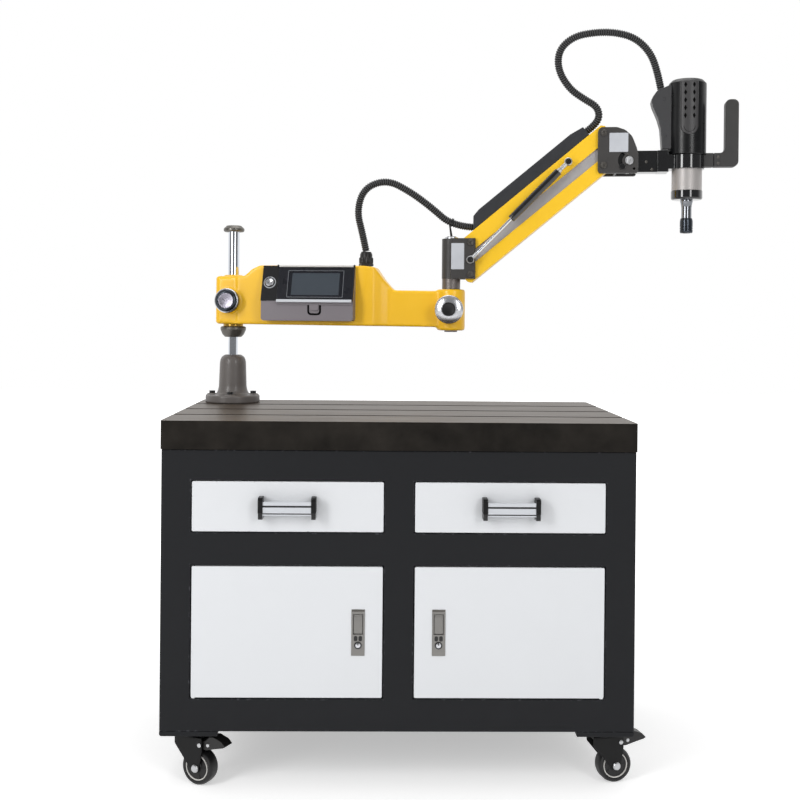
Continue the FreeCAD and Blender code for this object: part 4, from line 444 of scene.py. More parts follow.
class Shape:
    """Solids that become one piece. Everything is in millimetres in the frame of the piece."""

    def __init__(self):
        self.bm = bmesh.new()
        self.edge = self.bm.faces.layers.float.new("edge")
        self.done = self.bm.faces.layers.int.new("done")

    def soften(self, width, segments=2):
        """Rounds the edges of what was added since the last call."""
        edges = [e for e in sharp_edges(self.bm, CREASE) if not any(face[self.done] for face in e.link_faces)]
        for face in bevelled(self.bm, edges, width, segments):
            face[self.edge] = 1.0
        for face in self.bm.faces:
            face[self.done] = 1
        return self

    def loft(self, rings, where=None):
        """Closed rings with as many points each, joined one to the next and closed at both ends."""
        made = [[self.bm.verts.new(p) for p in ring] for ring in rings]
        faces = [self.bm.faces.new(made[0]), self.bm.faces.new(made[-1])]
        for one, two in zip(made, made[1:]):
            for i in range(len(one)):
                j = (i + 1) % len(one)
                faces.append(self.bm.faces.new((one[i], one[j], two[j], two[i])))
        return self.finish_part([v for ring in made for v in ring], faces, where)

    def tub(self, low, high, wall):
        """A box that is open at the top."""
        (x0, y0, z0), (x1, y1, z1) = low, high

        def level(z, inset):
            return [(x0 + inset, y0 + inset, z), (x1 - inset, y0 + inset, z), (x1 - inset, y1 - inset, z),
                    (x0 + inset, y1 - inset, z)]

        return self.loft([level(z0, 0), level(z1, 0), level(z1, wall), level(z0 + wall, wall)])

    def prism(self, outline, low, high, axis="y", where=None):
        """An outline in the other two axes, from low to high along the axis."""
        rings = []
        for level in (low, high):
            spots = {"x": lambda u, v: (level, u, v), "y": lambda u, v: (u, level, v),
                     "z": lambda u, v: (u, v, level)}[axis]
            rings.append([self.bm.verts.new(spots(u, v)) for u, v in outline])
        count = len(outline)
        faces = [self.bm.faces.new(rings[0]), self.bm.faces.new(rings[1][::-1])]
        for i in range(count):
            j = (i + 1) % count
            faces.append(self.bm.faces.new((rings[0][i], rings[1][i], rings[1][j], rings[0][j])))
        return self.finish_part(rings[0] + rings[1], faces, where)

    def block(self, low, high, where=None):
        return self.prism(rectangle(low[0], low[2], high[0], high[2]), low[1], high[1], "y", where)

    def turn(self, profile, where=None, axis="z", segments=64, closed=False):
        """A profile of (radius, height) or (radius, height, shape) turned about the axis."""
        rings, verts = [], []
        for entry in profile:
            radius, height = entry[:2]
            form = entry[2] if len(entry) > 2 else None
            if radius <= 1e-6:
                rings.append([self.bm.verts.new((0, 0, height))])
            else:
                ring = []
                for k in range(segments):
                    angle = TAU * k / segments
                    reach = radius * (form(angle) if form else 1)
                    ring.append(self.bm.verts.new((reach * math.cos(angle), reach * math.sin(angle), height)))
                rings.append(ring)
            verts += rings[-1]
        faces = []
        pairs = list(zip(rings, rings[1:])) + ([(rings[-1], rings[0])] if closed else [])
        for one, two in pairs:
            for k in range(segments):
                j = (k + 1) % segments
                if len(one) == 1 and len(two) == 1:
                    continue
                if len(one) == 1:
                    faces.append(self.bm.faces.new((one[0], two[k], two[j])))
                elif len(two) == 1:
                    faces.append(self.bm.faces.new((one[k], two[0], one[j])))
                else:
                    faces.append(self.bm.faces.new((one[k], two[k], two[j], one[j])))
        if not closed:
            for ring in (rings[0], rings[-1]):
                if len(ring) > 1:
                    faces.append(self.bm.faces.new(ring))
        return self.finish_part(verts, faces, (where or Matrix()) @ AXES[axis])

    def rod(self, radius, low, high, where=None, axis="z", segments=64):
        return self.turn([(0, low), (radius, low), (radius, high), (0, high)], where, axis, segments)

    def pair(self, x, reach, z, radius, height, hexed=True):
        """The same screw on the near side and on the far side."""
        for side, axis in ((-1, "-y"), (1, "y")):
            self.screw((x, side * reach, z), radius, height, axis, hexed)
        return self

    def screw(self, spot, radius, height, axis="-y", hexed=True):
        """A head on a face, with a hexagon socket or domed. It stands out from the spot along the axis."""
        hole = radius * 0.50
        profile = [(radius, -0.4), (radius, height - 0.5), (radius - 0.5, height), (hole + 0.4, height),
                   (hole, height - 0.4, hexagon), (hole, height * 0.3, hexagon), (0, height * 0.25)]
        if not hexed:
            profile = [(radius, -0.4), (radius, height * 0.35), (radius * 0.8, height * 0.8), (0, height)]
        return self.turn(profile, place(*spot) @ AXES[axis], segments=36)

    def sweep(self, line, ring):
        """Rings of points (u, v) carried along a line without twist. ring(k) gives the points."""
        rings, faces, verts = [], [], []
        for k, (spot, u, v) in enumerate(carried(line)):
            rings.append([self.bm.verts.new(spot + u * a + v * b) for a, b in ring(k)])
            verts += rings[-1]
        for one, two in zip(rings, rings[1:]):
            for i in range(len(one)):
                j = (i + 1) % len(one)
                faces.append(self.bm.faces.new((one[i], one[j], two[j], two[i])))
        faces.append(self.bm.faces.new(rings[0]))
        faces.append(self.bm.faces.new(rings[-1]))
        return self.finish_part(verts, faces, None)

    def finish_part(self, verts, faces, where):
        bmesh.ops.recalc_face_normals(self.bm, faces=faces)
        if where is not None:
            bmesh.ops.transform(self.bm, matrix=where, verts=verts)
        return self

    def piece(self, name, body, material, where=None, **options):
        """Makes the object, in metres, riding on its body."""
        bmesh.ops.transform(self.bm, matrix=MM @ (where or Matrix()), verts=self.bm.verts)
        return make_piece(self.bm, name, body, material, **options)

    def skin(self, cad, material, where=None, **options):
        """Makes the object that stands for a CAD node, on its body. The slot, its own unless one is given, is
        not used.
        """
        return self.piece(f"{cad}_skin", NODES[cad]["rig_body"], material, where, replaces=(cad,),
                          **{"slot": SLOTS[cad], **options})


def carried(line):
    """Points with two side directions that don't twist."""
    points = [Vector(p) for p in line]
    ahead = [(points[min(i + 1, len(points) - 1)] - points[max(i - 1, 0)]).normalized()
             for i in range(len(points))]
    side = ahead[0].orthogonal().normalized()
    frames = []
    for i, spot in enumerate(points):
        if i:
            side.rotate(ahead[i - 1].rotation_difference(ahead[i]))
            side = (side - ahead[i] * side.dot(ahead[i])).normalized()
        frames.append((spot, side.copy(), ahead[i].cross(side)))
    return frames


def applied(item):
    """Puts the result of the modifiers into the mesh."""
    mesh = bpy.data.meshes.new_from_object(item.evaluated_get(bpy.context.evaluated_depsgraph_get()))
    item.modifiers.clear()
    item.data = mesh
    return mesh


def carve(item, cutter, where):
    """Takes the solids of the cutter out of the piece."""
    bmesh.ops.transform(cutter.bm, matrix=MM @ where, verts=cutter.bm.verts)
    mesh = bpy.data.meshes.new("cutter")
    cutter.bm.to_mesh(mesh)
    tool = bpy.data.objects.new("cutter", mesh)
    SCENE.collection.objects.link(tool)
    cut = item.modifiers.new("cut", "BOOLEAN")
    cut.object = tool
    cut.solver = "EXACT"
    applied(item)
    bpy.data.objects.remove(tool)


def make_piece(bm, name, body, material, bevel=0, segments=2, replaces=(), slot=None, sharp=38, remesh=0,
               smooth=0, extra=(), carved=()):
    """Makes the object of a mesh in metres. Widths and the grid of a remesh are in millimetres.

    carved holds (cutter, where) pairs, extra holds the finishes after the first, and faces that meet at
    more than the angle sharp keep their edge in the shading.
    """
    edge = bm.faces.layers.float.get("edge") or bm.faces.layers.float.new("edge")
    if bevel:
        for face in bevelled(bm, sharp_edges(bm, CREASE), bevel * 0.001, segments):
            face[edge] = 1.0
    done = bm.faces.layers.int.get("done")
    if done:
        bm.faces.layers.int.remove(done)
    mesh = bpy.data.meshes.new(name)
    bm.to_mesh(mesh)
    bm.free()
    for finish in (material, *extra):
        mesh.materials.append(FINISHES[finish])
    item = bpy.data.objects.new(name, mesh)
    SCENE.collection.objects.link(item)
    for cutter, where in carved:
        carve(item, cutter, where)
    if remesh:
        grid = item.modifiers.new("grid", "REMESH")
        grid.mode = "VOXEL"
        grid.voxel_size = remesh * 0.001
        soften = item.modifiers.new("soften", "SMOOTH")
        soften.factor = 0.5
        soften.iterations = smooth
        applied(item)
    mesh = item.data
    mesh.polygons.foreach_set("use_smooth", [True] * len(mesh.polygons))
    if not remesh:
        mesh.set_sharp_from_angle(angle=math.radians(sharp))
        weighted = item.modifiers.new("weighted", "WEIGHTED_NORMAL")
        weighted.keep_sharp = True
        weighted.weight = 80
    if body:
        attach(item, body)
    if replaces:
        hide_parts(*replaces)
    return item


def refine(cad, material, bevel=0.8, segments=2, rounded=None, keep=None, second=None, **options):
    """A piece with the shape of the CAD node and rounded edges, which stands for it.

    keep(point) says which points stay, rounded(one, two) gives the radius of an edge before the others, and
    second(face) says which faces take the second material.
    """
    bm = bmesh.new()
    bm.from_mesh(NODES[cad].data)
    bmesh.ops.remove_doubles(bm, verts=bm.verts, dist=1e-6)
    if keep:
        bmesh.ops.delete(bm, geom=[v for v in bm.verts if not keep(v.co)], context="VERTS")
    if not options.get("remesh"):
        bmesh.ops.dissolve_limit(bm, angle_limit=math.radians(0.6), verts=bm.verts, edges=bm.edges,
                                 delimit=set())
    if rounded:
        radii = {e: rounded(e.verts[0].co, e.verts[1].co) for e in sharp_edges(bm, 0.5)}
        chosen = [e for e, radius in radii.items() if radius]
        bevelled(bm, chosen, max(radii.values()), 6, profile=0.5)
    for face in bm.faces:
        face.material_index = 1 if second and second(face) else 0
    return make_piece(bm, f"{cad}_skin", NODES[cad]["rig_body"], material, bevel=bevel,
                      segments=segments, replaces=(cad,), slot=SLOTS[cad], **options)


# ---------------------------------------------------------------- conduits


ARM_CONDUIT = [(340.4, 384), (331, 428), (316, 485), (334, 543), (392, 563), (450, 533), (503, 494),
               (556, 447.5), (608.3, 443.9)]
HEAD_CONDUIT = [(883, 677.7), (903, 693), (916, 715), (908, 740), (879, 757), (842, 783), (813, 831),
                (815, 880), (851, 912), (902, 921), (952, 920), (999, 906), (1035, 871), (1053, 824),
                (1061.8, 779.7)]
CONDUIT_RADIUS = 9.25
TIE = place(0, 0, 455.2, "Y", 22.6)
TIE_SPAN = ((530, 450), (600, 450))
STEM_SPAN = ((551, 420), (551, 505.3))  # the stem stands on the pivot and reaches the tie
RIB_DEPTH = 1.7
PITCH, PER_RIB = 5.4, 8  # length of a rib, and rings of points along it
ROUND = 28  # points round the hose


def on_arm(x, z):
    """A point in the upright plane of the arm, in metres."""
    return metres(ARM, (x, 0, z))


def blended(item):
    """Puts the piece's place into its mesh; it is not blended between bodies."""
    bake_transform(item)


def nurbs_line(route):
    """Points along the smooth line whose control points are the route, in metres."""
    curve = bpy.data.curves.new("route", "CURVE")
    curve.dimensions = "3D"
    spline = curve.splines.new("NURBS")
    spline.points.add(len(route) - 1)
    for point, (x, z) in zip(spline.points, route):
        point.co = (*on_arm(x, z), 1)
    spline.order_u = 3
    spline.use_endpoint_u = True
    spline.resolution_u = 24
    item = bpy.data.objects.new("route", curve)
    SCENE.collection.objects.link(item)
    mesh = bpy.data.meshes.new_from_object(item)
    line = [v.co.copy() for v in mesh.vertices]
    bpy.data.objects.remove(item)
    return line


def evenly(line, step):
    """The same line with points an even step apart."""
    lengths = [0.0]
    for one, two in zip(line, line[1:]):
        lengths.append(lengths[-1] + (two - one).length)
    count = round(lengths[-1] / step)
    marks = np.linspace(0, lengths[-1], count + 1)
    columns = [np.interp(marks, lengths, [p[i] for p in line]) for i in range(3)]
    return [Vector(p) for p in zip(*columns)]


def corrugated(name, line, first, last, materials):
    """The part of the conduit between two points of its line, ribbed like the real hose, with painted shade
    in its valleys.
    """

    def ring(k):
        phase = ((k + first) % PER_RIB) / PER_RIB
        crest = 0.5 + 0.5 * math.tanh(3.2 * math.cos(TAU * phase) + 0.8)
        radius = 0.001 * (CONDUIT_RADIUS - RIB_DEPTH + RIB_DEPTH * crest)
        return [(radius * math.cos(TAU * i / ROUND), radius * math.sin(TAU * i / ROUND))
                 for i in range(ROUND)]

    shape = Shape()
    shape.sweep(line[first:last + 1], ring)
    # the faces in the valleys between the ribs take the second finish, a painted shade
    for i, face in enumerate(shape.bm.faces):
        phase = ((i // ROUND + first) % PER_RIB + 0.5) / PER_RIB
        face.material_index = 1 if 0.30 < phase < 0.70 else 0
    return make_piece(shape.bm, name, None, materials[0], sharp=80, slot="conduit_rubber",
                      extra=materials[1:])


def make_conduit(cad, route, split, bodies, spans, materials):
    """A hose over two joints, in two pieces that meet nearest to the split; the bodies and spans are not
    used.
    """
    line = evenly(nurbs_line(route), 0.001 * PITCH / PER_RIB)
    turn = min(range(len(line)), key=lambda i: (line[i] - on_arm(*split)).length)
    parts = ((f"{cad}_first", 0, turn), (f"{cad}_second", turn, len(line) - 1))
    for (name, first, last), pair, span in zip(parts, bodies, spans):
        piece = corrugated(name, line, first, last, materials)
        blended(piece)
        if first == 0:
            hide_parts(cad)


# ---------------------------------------------------------------- bench


def both(value, size):
    """The range on one side of the middle or its mirror image, lower end first."""
    return sorted((value * size[0], value * size[1]))


def make_frame():
    """Front frame in one piece with its four openings, rear posts and rails, corner pads, hinge pins."""
    shape = Shape()
    columns, rows = (-498, -435, -31.5, 31.5, 435, 498), (127, 196, 475, 544, 652, 717)
    near, far = -296, -256

    def filled(i, k):
        return 0 <= i < 5 and 0 <= k < 5 and not (i in (1, 3) and k in (1, 3))

    spot = {(i, k, y): shape.bm.verts.new((columns[i], y, rows[k]))
            for i in range(6) for k in range(6) for y in (near, far)}
    faces = []
    for i in range(5):
        for k in range(5):
            if not filled(i, k):
                continue
            for y in (near, far):
                faces.append(shape.bm.faces.new([spot[i + a, k + b, y]
                                                 for a, b in ((0, 0), (1, 0), (1, 1), (0, 1))]))
            for (a, b), (c, d), (di, dk) in (((0, 0), (0, 1), (-1, 0)), ((1, 0), (1, 1), (1, 0)),
                                             ((0, 0), (1, 0), (0, -1)), ((0, 1), (1, 1), (0, 1))):
                if not filled(i + di, k + dk):
                    faces.append(shape.bm.faces.new((spot[i + a, k + b, near], spot[i + c, k + d, near],
                                                     spot[i + c, k + d, far], spot[i + a, k + b, far])))
    shape.finish_part([], faces, None)
    shape.soften(3, 3)
    for side in (-1, 1):
        x0, x1 = both(side, (435, 498))
        shape.block((x0, 256, 127), (x1, 296, 717))
    for low, high in ((127, 196), (652, 717)):
        shape.block((-434.7, 256, low), (434.7, 294, high))
    shape.soften(2.5)
    for side in (-1, 1):
        x0, x1 = both(side, (377, 498))
        radii = (8, 2, 0, 0) if side < 0 else (2, 8, 0, 0)
        outline = corners([(x0, 117), (x1, 117), (x1, 127.5), (x0, 127.5)], radii)
        for depth in (-1, 1):
            y0, y1 = both(depth, (175, 296))
            shape.prism(outline, y0, y1)
        for low in (184, 463):
            shape.rod(2, low, low + 24, place(side * 428, -292))
    shape.soften(0.8, 1)
    shape.skin("cabinet_frame", "black_powder_coat", BENCH)


def make_panels():
    """Sheet panels with a shallow groove for a seam along the tubes, and their screws."""
    shape = Shape()
    for low, high in (((-496, -256, 194), (496, 256, 196)), ((-496, -256, 475), (496, 256, 477)),
                      ((-1, -256, 196), (1, 256, 475)), ((-1, -256, 477), (1, 256, 717))):
        shape.block(low, high)
    shape.soften(0.4, 1)
    depths = ((0, 0), (1.3, 0), (1.5, 0.5), (1.8, 0.5), (2, 0.7))
    for side in (-1, 1):
        shape.loft([[(side * (496 + depth), y, z) for y, z in rectangle(-256 + inset, 127 + inset,
                   256 - inset, 717 - inset)] for depth, inset in depths])
    shape.loft([[(x, 294 + depth, z) for x, z in rectangle(-435 + inset, 127 + inset, 435 - inset,
                                                          717 - inset)]
                for depth, inset in depths])
    shape.skin("cabinet_panels", "black_powder_coat", BENCH)
    screws = Shape()
    for z in (150, 694):
        for x in (-415, -210, 0, 210, 415):
            screws.screw((x, 296, z), 5, 2.4, "y", hexed=False)
    for side in (-1, 1):
        for y in (-238, 0, 238):
            for z in (146, 420, 698):
                screws.screw((side * 498, y, z), 4.5, 1.7, "x" if side > 0 else "-x", hexed=False)
    screws.piece("panel_screws", "bench", "black_oxide_screw", BENCH, slot="cabinet_black")


def make_drawers():
    """Front, tray and runner rails, and the handle with its two posts."""
    for name, side in (("left", -1), ("right", 1)):
        where = BENCH @ place(side * 233.25, -296, 544)
        body = f"{name}_drawer_body"
        shape = Shape()
        shape.prism(rectangle(-200.25, 1.5, 200.25, 106.5, 3), 0, 15)
        shape.soften(1.5, 3)
        shape.tub((-187.75, 15, 8), (187.75, 485, 88), 2)
        for hand in (-1, 1):
            x0, x1 = both(hand, (187.75, 195.25))
            shape.block((x0, 42, 38.3), (x1, 485, 57.7))
        shape.soften(0.6, 1)
        shape.skin(f"{name}_drawer", "white_enamel", where)
        posts, feet, bar = Shape(), Shape(), Shape()
        for x in (-60, 50):
            posts.prism(corners([(-30, 45.5), (0, 45.5), (0, 76.5), (-30, 76.5)], [0.3, 0.3, 1, 7]),
                        x, x + 10, "x")
            feet.prism(corners([(-30, 31.5), (0, 31.5), (0, 45.5), (-30, 45.5)], [4, 1, 0.3, 0.3]),
                       x + 0.6, x + 9.4, "x")
        posts.soften(1.0)
        feet.soften(0.8)
        posts.piece(f"{name}_handle_posts", body, "caster_black", where, slot="handle_chrome")
        feet.piece(f"{name}_handle_feet", body, "satin_black", where, slot="handle_chrome")
        bar.prism([(-27.4, 68.5), (-24, 68.5), (-24, 39.5), (-27.2, 39.5), (-28, 40.5), (-28, 42.6),
                   (-27.1, 43.0), (-27.1, 44.6), (-28, 45.0), (-28, 57.0), (-26.0, 57.4), (-26.0, 60.4),
                   (-28, 60.8), (-28, 67.9)], -50.5, 50.5, "x")
        # the faces of the two grooves in the bar take satin black, a painted shade in the grooves
        for face in bar.bm.faces:
            z = face.calc_center_median().z
            if abs(face.normal.x) < 0.5 and (57.0 < z < 60.8 or 42.6 < z < 45.0):
                face.material_index = 1
        bar.skin(f"{name}_drawer_handle", "pale_metal_and_painted_highlight", where, extra=("satin_black",))


def make_doors():
    """Folded door sheet, latch with its pull and button, hinge knuckles."""
    half, low, high = 199.75, 2, 277
    for name, side in (("left", -1), ("right", 1)):
        where = BENCH @ place(side * 233.25, -296, 196)
        shape = Shape()
        rings = []
        for y, inset, radius in ((0, 1.3, 2), (0.35, 0.5, 2.6), (1.3, 0, 3.2), (15.2, 0, 3.2),
                                 (16, 0.7, 2.6), (16, 1.5, 1.8), (1.8, 1.5, 1.8)):
            outline = rectangle(-half + inset, low + inset, half - inset, high - inset, radius)
            rings.append([(x, y, z) for x, z in outline])
        shape.loft(rings)
        for z in (3.5, 260.5):
            x0, x1 = both(side, (183.25, 198.25))
            shape.block((x0, 1.8, z), (x1, 16, z + 15))
        for z in (0.5, 267):
            shape.turn([(0, z), (3.8, z), (4.3, z + 0.5), (4.3, z + 11.2), (3.8, z + 11.7), (0, z + 11.7)],
                       place(side * 194.75, 4), segments=32)
        latch = where @ place(-side * 148.75, 0, 139.5)
        seat = Shape().block((-12.4, -4, -47), (12.4, 6, 47))
        shape.skin(f"{name}_door", "white_enamel", where, carved=[(seat, latch)])
        refine(f"{name}_latch", "brushed_latch", 0.4)
        # a dark strip along the top of the latch, a painted shadow line
        strip = Shape().block((-13.6, -1.9, 44.0), (13.6, -0.3, 48.2))
        strip.soften(0.3, 1)
        strip.piece(f"{name}_latch_top_painted_shade", f"{name}_door_body", "black_oxide_screw", latch, slot="latch_grey")
        pull = Shape().prism([(0.3, -2.6), (4, -2.6), (4, 35.4), (2.2, 35.4), (0.1, 31.4)], -9.1, 9.1, "x")
        pull.soften(0.5)
        pull.rod(2.4, -9.1, 9.1, place(0, 3, 35.7), "x", 24)
        pull.skin(f"{name}_latch_pull", "brushed_latch", latch)
        spot = place(0, 0, -26.5)
        button = Shape().turn([(0, -3), (3.6, -2.9), (5.3, -2.3), (5.3, 3.5), (0, 3.5)], spot, "y", 40)
        button.skin(f"{name}_latch_button", "satin_chrome", latch)
        ring = Shape().turn([(5.3, 3.4), (5.3, -2.3), (6, -2.8), (7, -2.8), (7.5, -2.3), (7.5, 3.4)],
                            spot, "y", 40, closed=True)
        ring.block((-0.9, -3.0, -26.4), (0.9, -2.4, -20.9))
        notches = Shape()
        for hand in (-1, 1):
            x0, x1 = both(hand, (1.2, 8.6))
            notches.prism(corners([(x0, -17.8), (x1, -17.8), (x1, -7.0), (x0, -7.0)], 3.0), -1.72, -0.4)
        notches.piece(f"{name}_latch_notches", f"{name}_door_body", "satin_black", latch, slot="latch_grey")
        ring.piece(f"{name}_latch_button_ring", f"{name}_latch_button_body", "satin_black", latch,
                   slot="zinc_steel")


def make_casters():
    """Plates, forks with their axles, wheels with a pale ring, and brake pedals."""
    mounts, bolts = Shape(), Shape()
    for name, x, y, turn, axle in (("front_left", -442, -236, -26, 26), ("front_right", 442, -236, 13, 26),
                                   ("rear_left", -442, 236, 90, 0), ("rear_right", 442, 236, 90, 0)):
        front = name.startswith("front")
        where = place(x, y, 0, "Z", turn)
        base = place(x, y, 0, "Z", 0 if front else 90)
        mounts.prism(rectangle(-48, -36, 48, 36, 6), 113, 117, "z", base)
        for u in (-37, 37):
            for v in (-26, 26):
                bolts.screw(tuple(base @ Vector((u, v, 113))), 6, 4.5, "-z")
        if front:
            mounts.turn([(0, 113.2), (27, 113.2), (27, 108.5), (25.6, 104), (24, 103.1), (0, 103.1)], base)
        top = 102.7 if front else 113
        fork = Shape() if front else mounts
        outline = corners([(-27, top), (axle + 16, top), (axle + 16, 76), (axle + 9, 31.5),
                           (axle + 3, 27.5), (axle - 3, 27.5), (axle - 9, 31.5), (-27, 84)],
                          [3, 3, 8, 6, 4, 4, 6, 8])
        for hand in (-1, 1):
            fork.prism(outline, *both(hand, (17, 20)), "y", where)
        fork.prism(rectangle(-27, -20, axle + (4 if front else 16), 20, 4), top - 5, top, "z", where)
        fork.soften(0.8)
        carrier = f"{name}_caster" if front else "bench"
        if front:
            fork.skin(f"{name}_fork", "caster_black", BENCH)
            refine(f"{name}_brake_pedal", "dark_plastic", 1.8, 3)
            rivet = Shape()
            rivet.pair(54, 14, 89, 4, 2, hexed=False)
            rivet.piece(f"{name}_pedal_rivets", f"{name}_pedal", "zinc_steel", BENCH @ where,
                        slot="caster_steel")
        heads = Shape()
        for hand, axis in ((-1, "-y"), (1, "y")):
            heads.screw((axle, hand * 20, 37.5), 8.5, 4.8, axis, hexed=False)
            if front:
                heads.screw((36, hand * 20, 88), 4.6, 1.6, axis, hexed=False)
        heads.rod(5, -20, 20, place(axle, 0, 37.5), "y", 32)
        heads.piece(f"{name}_axle", carrier, "zinc_steel", BENCH @ where, slot="caster_steel")

        body = f"{name}_wheel_body"
        centre = place(axle, 0, 37.5)
        wheel, ring = Shape(), Shape()
        half = [(11, 15), (12.5, 13.2), (23, 12.2), (27.6, 12.6), (29.6, 14.8), (33.6, 15), (36.3, 12.4),
                (37.5, 7.5)]
        profile = [(5.05, 15)] + half
        wheel.turn([(r, -y) for r, y in profile] + profile[::-1], centre, "y", 72, closed=True)
        for k in range(5):
            spoke = centre @ Matrix.Rotation(TAU * k / 5, 4, "Y")
            for hand in (-1, 1):
                y0, y1 = both(hand, (11.8, 13.6))
                wheel.block((12, y0, -1.6), (24, y1, 1.6), spoke)
        wheel.skin(f"{name}_wheel", "tyre", BENCH @ where)
        for hand in (-1, 1):
            ring.turn([(25.0, hand * 12), (25.2, hand * 13.8), (27.2, hand * 14.1), (27.8, hand * 12)],
                      centre, "y", 72, closed=True)
        ring.piece(f"{name}_wheel_ring", body, "pale_ring", BENCH @ where, slot="wheel_black")
    mounts.skin("caster_mounts", "caster_black", BENCH)
    bolts.piece("caster_plate_bolts", "bench", "zinc_steel", BENCH, slot="caster_steel")


# ---------------------------------------------------------------- column


def make_column():
    """Cast socket with its bolts, the chromed column, its stop collar and its cap."""
    base = BENCH @ place(-417, 225, 777)
    spots = ((52, 0), (-52, 0), (0, 52), (0, -52))
    socket, bolts = Shape(), Shape()
    socket.turn([(0, 0), (68.5, 0), (68.5, 16.5), (66, 19), (46, 20), (41.5, 22), (38.5, 26), (36.5, 32),
                 (35, 40), (33, 100), (31.5, 108), (28, 114.5), (22, 119), (20, 120), (12.6, 120),
                 (12.6, 15), (0, 15)], None, "z", 96)
    for x, y in spots:
        socket.turn([(0, 0.5), (13.5, 0.5), (13.5, 19), (12, 22), (0, 22)], place(x, y), "z", 48)
        bolts.screw((x, y, 22), 7.5, 6, "z")
        bolts.rod(5, -24, 23, place(x, y), "z", 24)
    socket.skin("column_socket", "grey_casting_paint", base, remesh=1.6, smooth=5)
    bolts.piece("socket_bolts", "bench", "satin_black", base, slot="grey_steel")
    column = Shape().turn([(0, 15), (12, 15), (12, 165), (14.2, 165), (14.2, 432), (0, 432)], None, "z", 96)
    column.skin("column", "hard_chrome", base)
    stops = Shape().turn([(14.2, 165), (20, 165), (21.5, 165.8), (27.2, 172), (31.8, 183), (32.2, 184.5),
                          (32.2, 188.6), (31.6, 190), (29.2, 191.7), (28, 192), (14.2, 192)],
                         None, "z", 96, closed=True)
    stops.turn([(0, 432), (22.5, 432), (24, 432.5), (26.2, 435), (26.2, 439.6), (25.6, 440.8),
                (18.6, 447.5), (17.2, 448), (0, 448)], None, "z", 96)
    stops.skin("column_stops", "blackened_steel", base)
    refine("column_bush", "bronze", 0.4)


# ---------------------------------------------------------------- first arm


def make_knob(cad, body, x, z, face, radius, share, rim, centre, tip):
    """Knurled clamp knob with an inlaid disc. It stands out from its face towards the front."""
    where = ARM @ place(x, face, z) @ AXES["-y"]
    grip = teeth(36, 0.016)
    inner = radius * share
    knob = Shape().turn([(0, tip), (6, tip), (6, 0), (radius - 6, 0), (radius - 2.4, 2.6),
                 (radius - 0.5, 6.5, grip), (radius - 0.5, 17.5, grip), (radius - 1.2, 19.0),
                 (radius - 2.0, 20.6), (radius - 3.4, 21.2), (radius - 5.6, 23.6), (inner + 3.0, 25.9),
                 (inner + 0.9, 26), (inner, 25.2), (inner, 20), (0, 20)], segments=144)
    knob.skin(cad, rim, where)
    edge = Shape().turn([(radius - 2.2, 19.0), (radius - 0.6, 18.2), (radius - 0.4, 19.4),
                 (radius - 1.6, 21.3), (radius - 3.2, 21.9), (radius - 3.6, 20.8)], segments=144, closed=True)
    edge.piece(f"{cad}_edge", body, "satin_chrome", where, slot="knob_steel")
    disc = Shape().turn([(0, 20), (inner - 0.25, 20), (inner - 0.25, 24.6), (inner - 0.9, 25.2),
                         (inner * 0.82, 25.3), (inner * 0.72, 24.6), (inner * 0.3, 24.2), (0, 24.1)],
                        segments=72)
    disc.piece(f"{cad}_disc", body, centre, where, slot="knob_steel")


def round_head(casting, half, low, high, radius):
    """Rounds the rims of the casting's clamp head, and fades out where the body joins it."""
    mesh = casting.data
    fade_from, fade_over, collar = 15, 12, 24
    back, forth = ARM.inverted() @ MM.inverted(), MM @ ARM
    for vertex in mesh.vertices:
        point = back @ vertex.co
        share = min(1.0, max(0.0, (fade_from - point.x) / fade_over))
        if not share:
            continue
        inner = Vector((max(point.x, radius - half), min(max(point.y, radius - half), half - radius),
                        min(max(point.z, low + radius), high - radius)))
        out = point - inner
        on_collar = point.z > high and math.hypot(point.x, point.y) < collar
        if out.length > radius and not on_collar and abs(point.y) < half + 0.5:
            rounded = inner + out * (radius / out.length)
            vertex.co = forth @ point.lerp(rounded, share)
    mesh.update()


def make_first_arm():
    """The casting and its two clamp knobs."""
    casting = refine("arm1_casting", "yellow_paint", 0, remesh=2.2, smooth=26)
    round_head(casting, 38.5, 198, 319, 11)
    make_knob("column_knob", "column_clamp", 0, 256.4, -47.8, 31, 0.63, "blued_steel", "chrome_disc", -29)
    make_knob("arm2_knob", "pivot_clamp", PIVOT_X, 239, -46.3, 35, 0.47, "satin_chrome", "satin_black", -34)


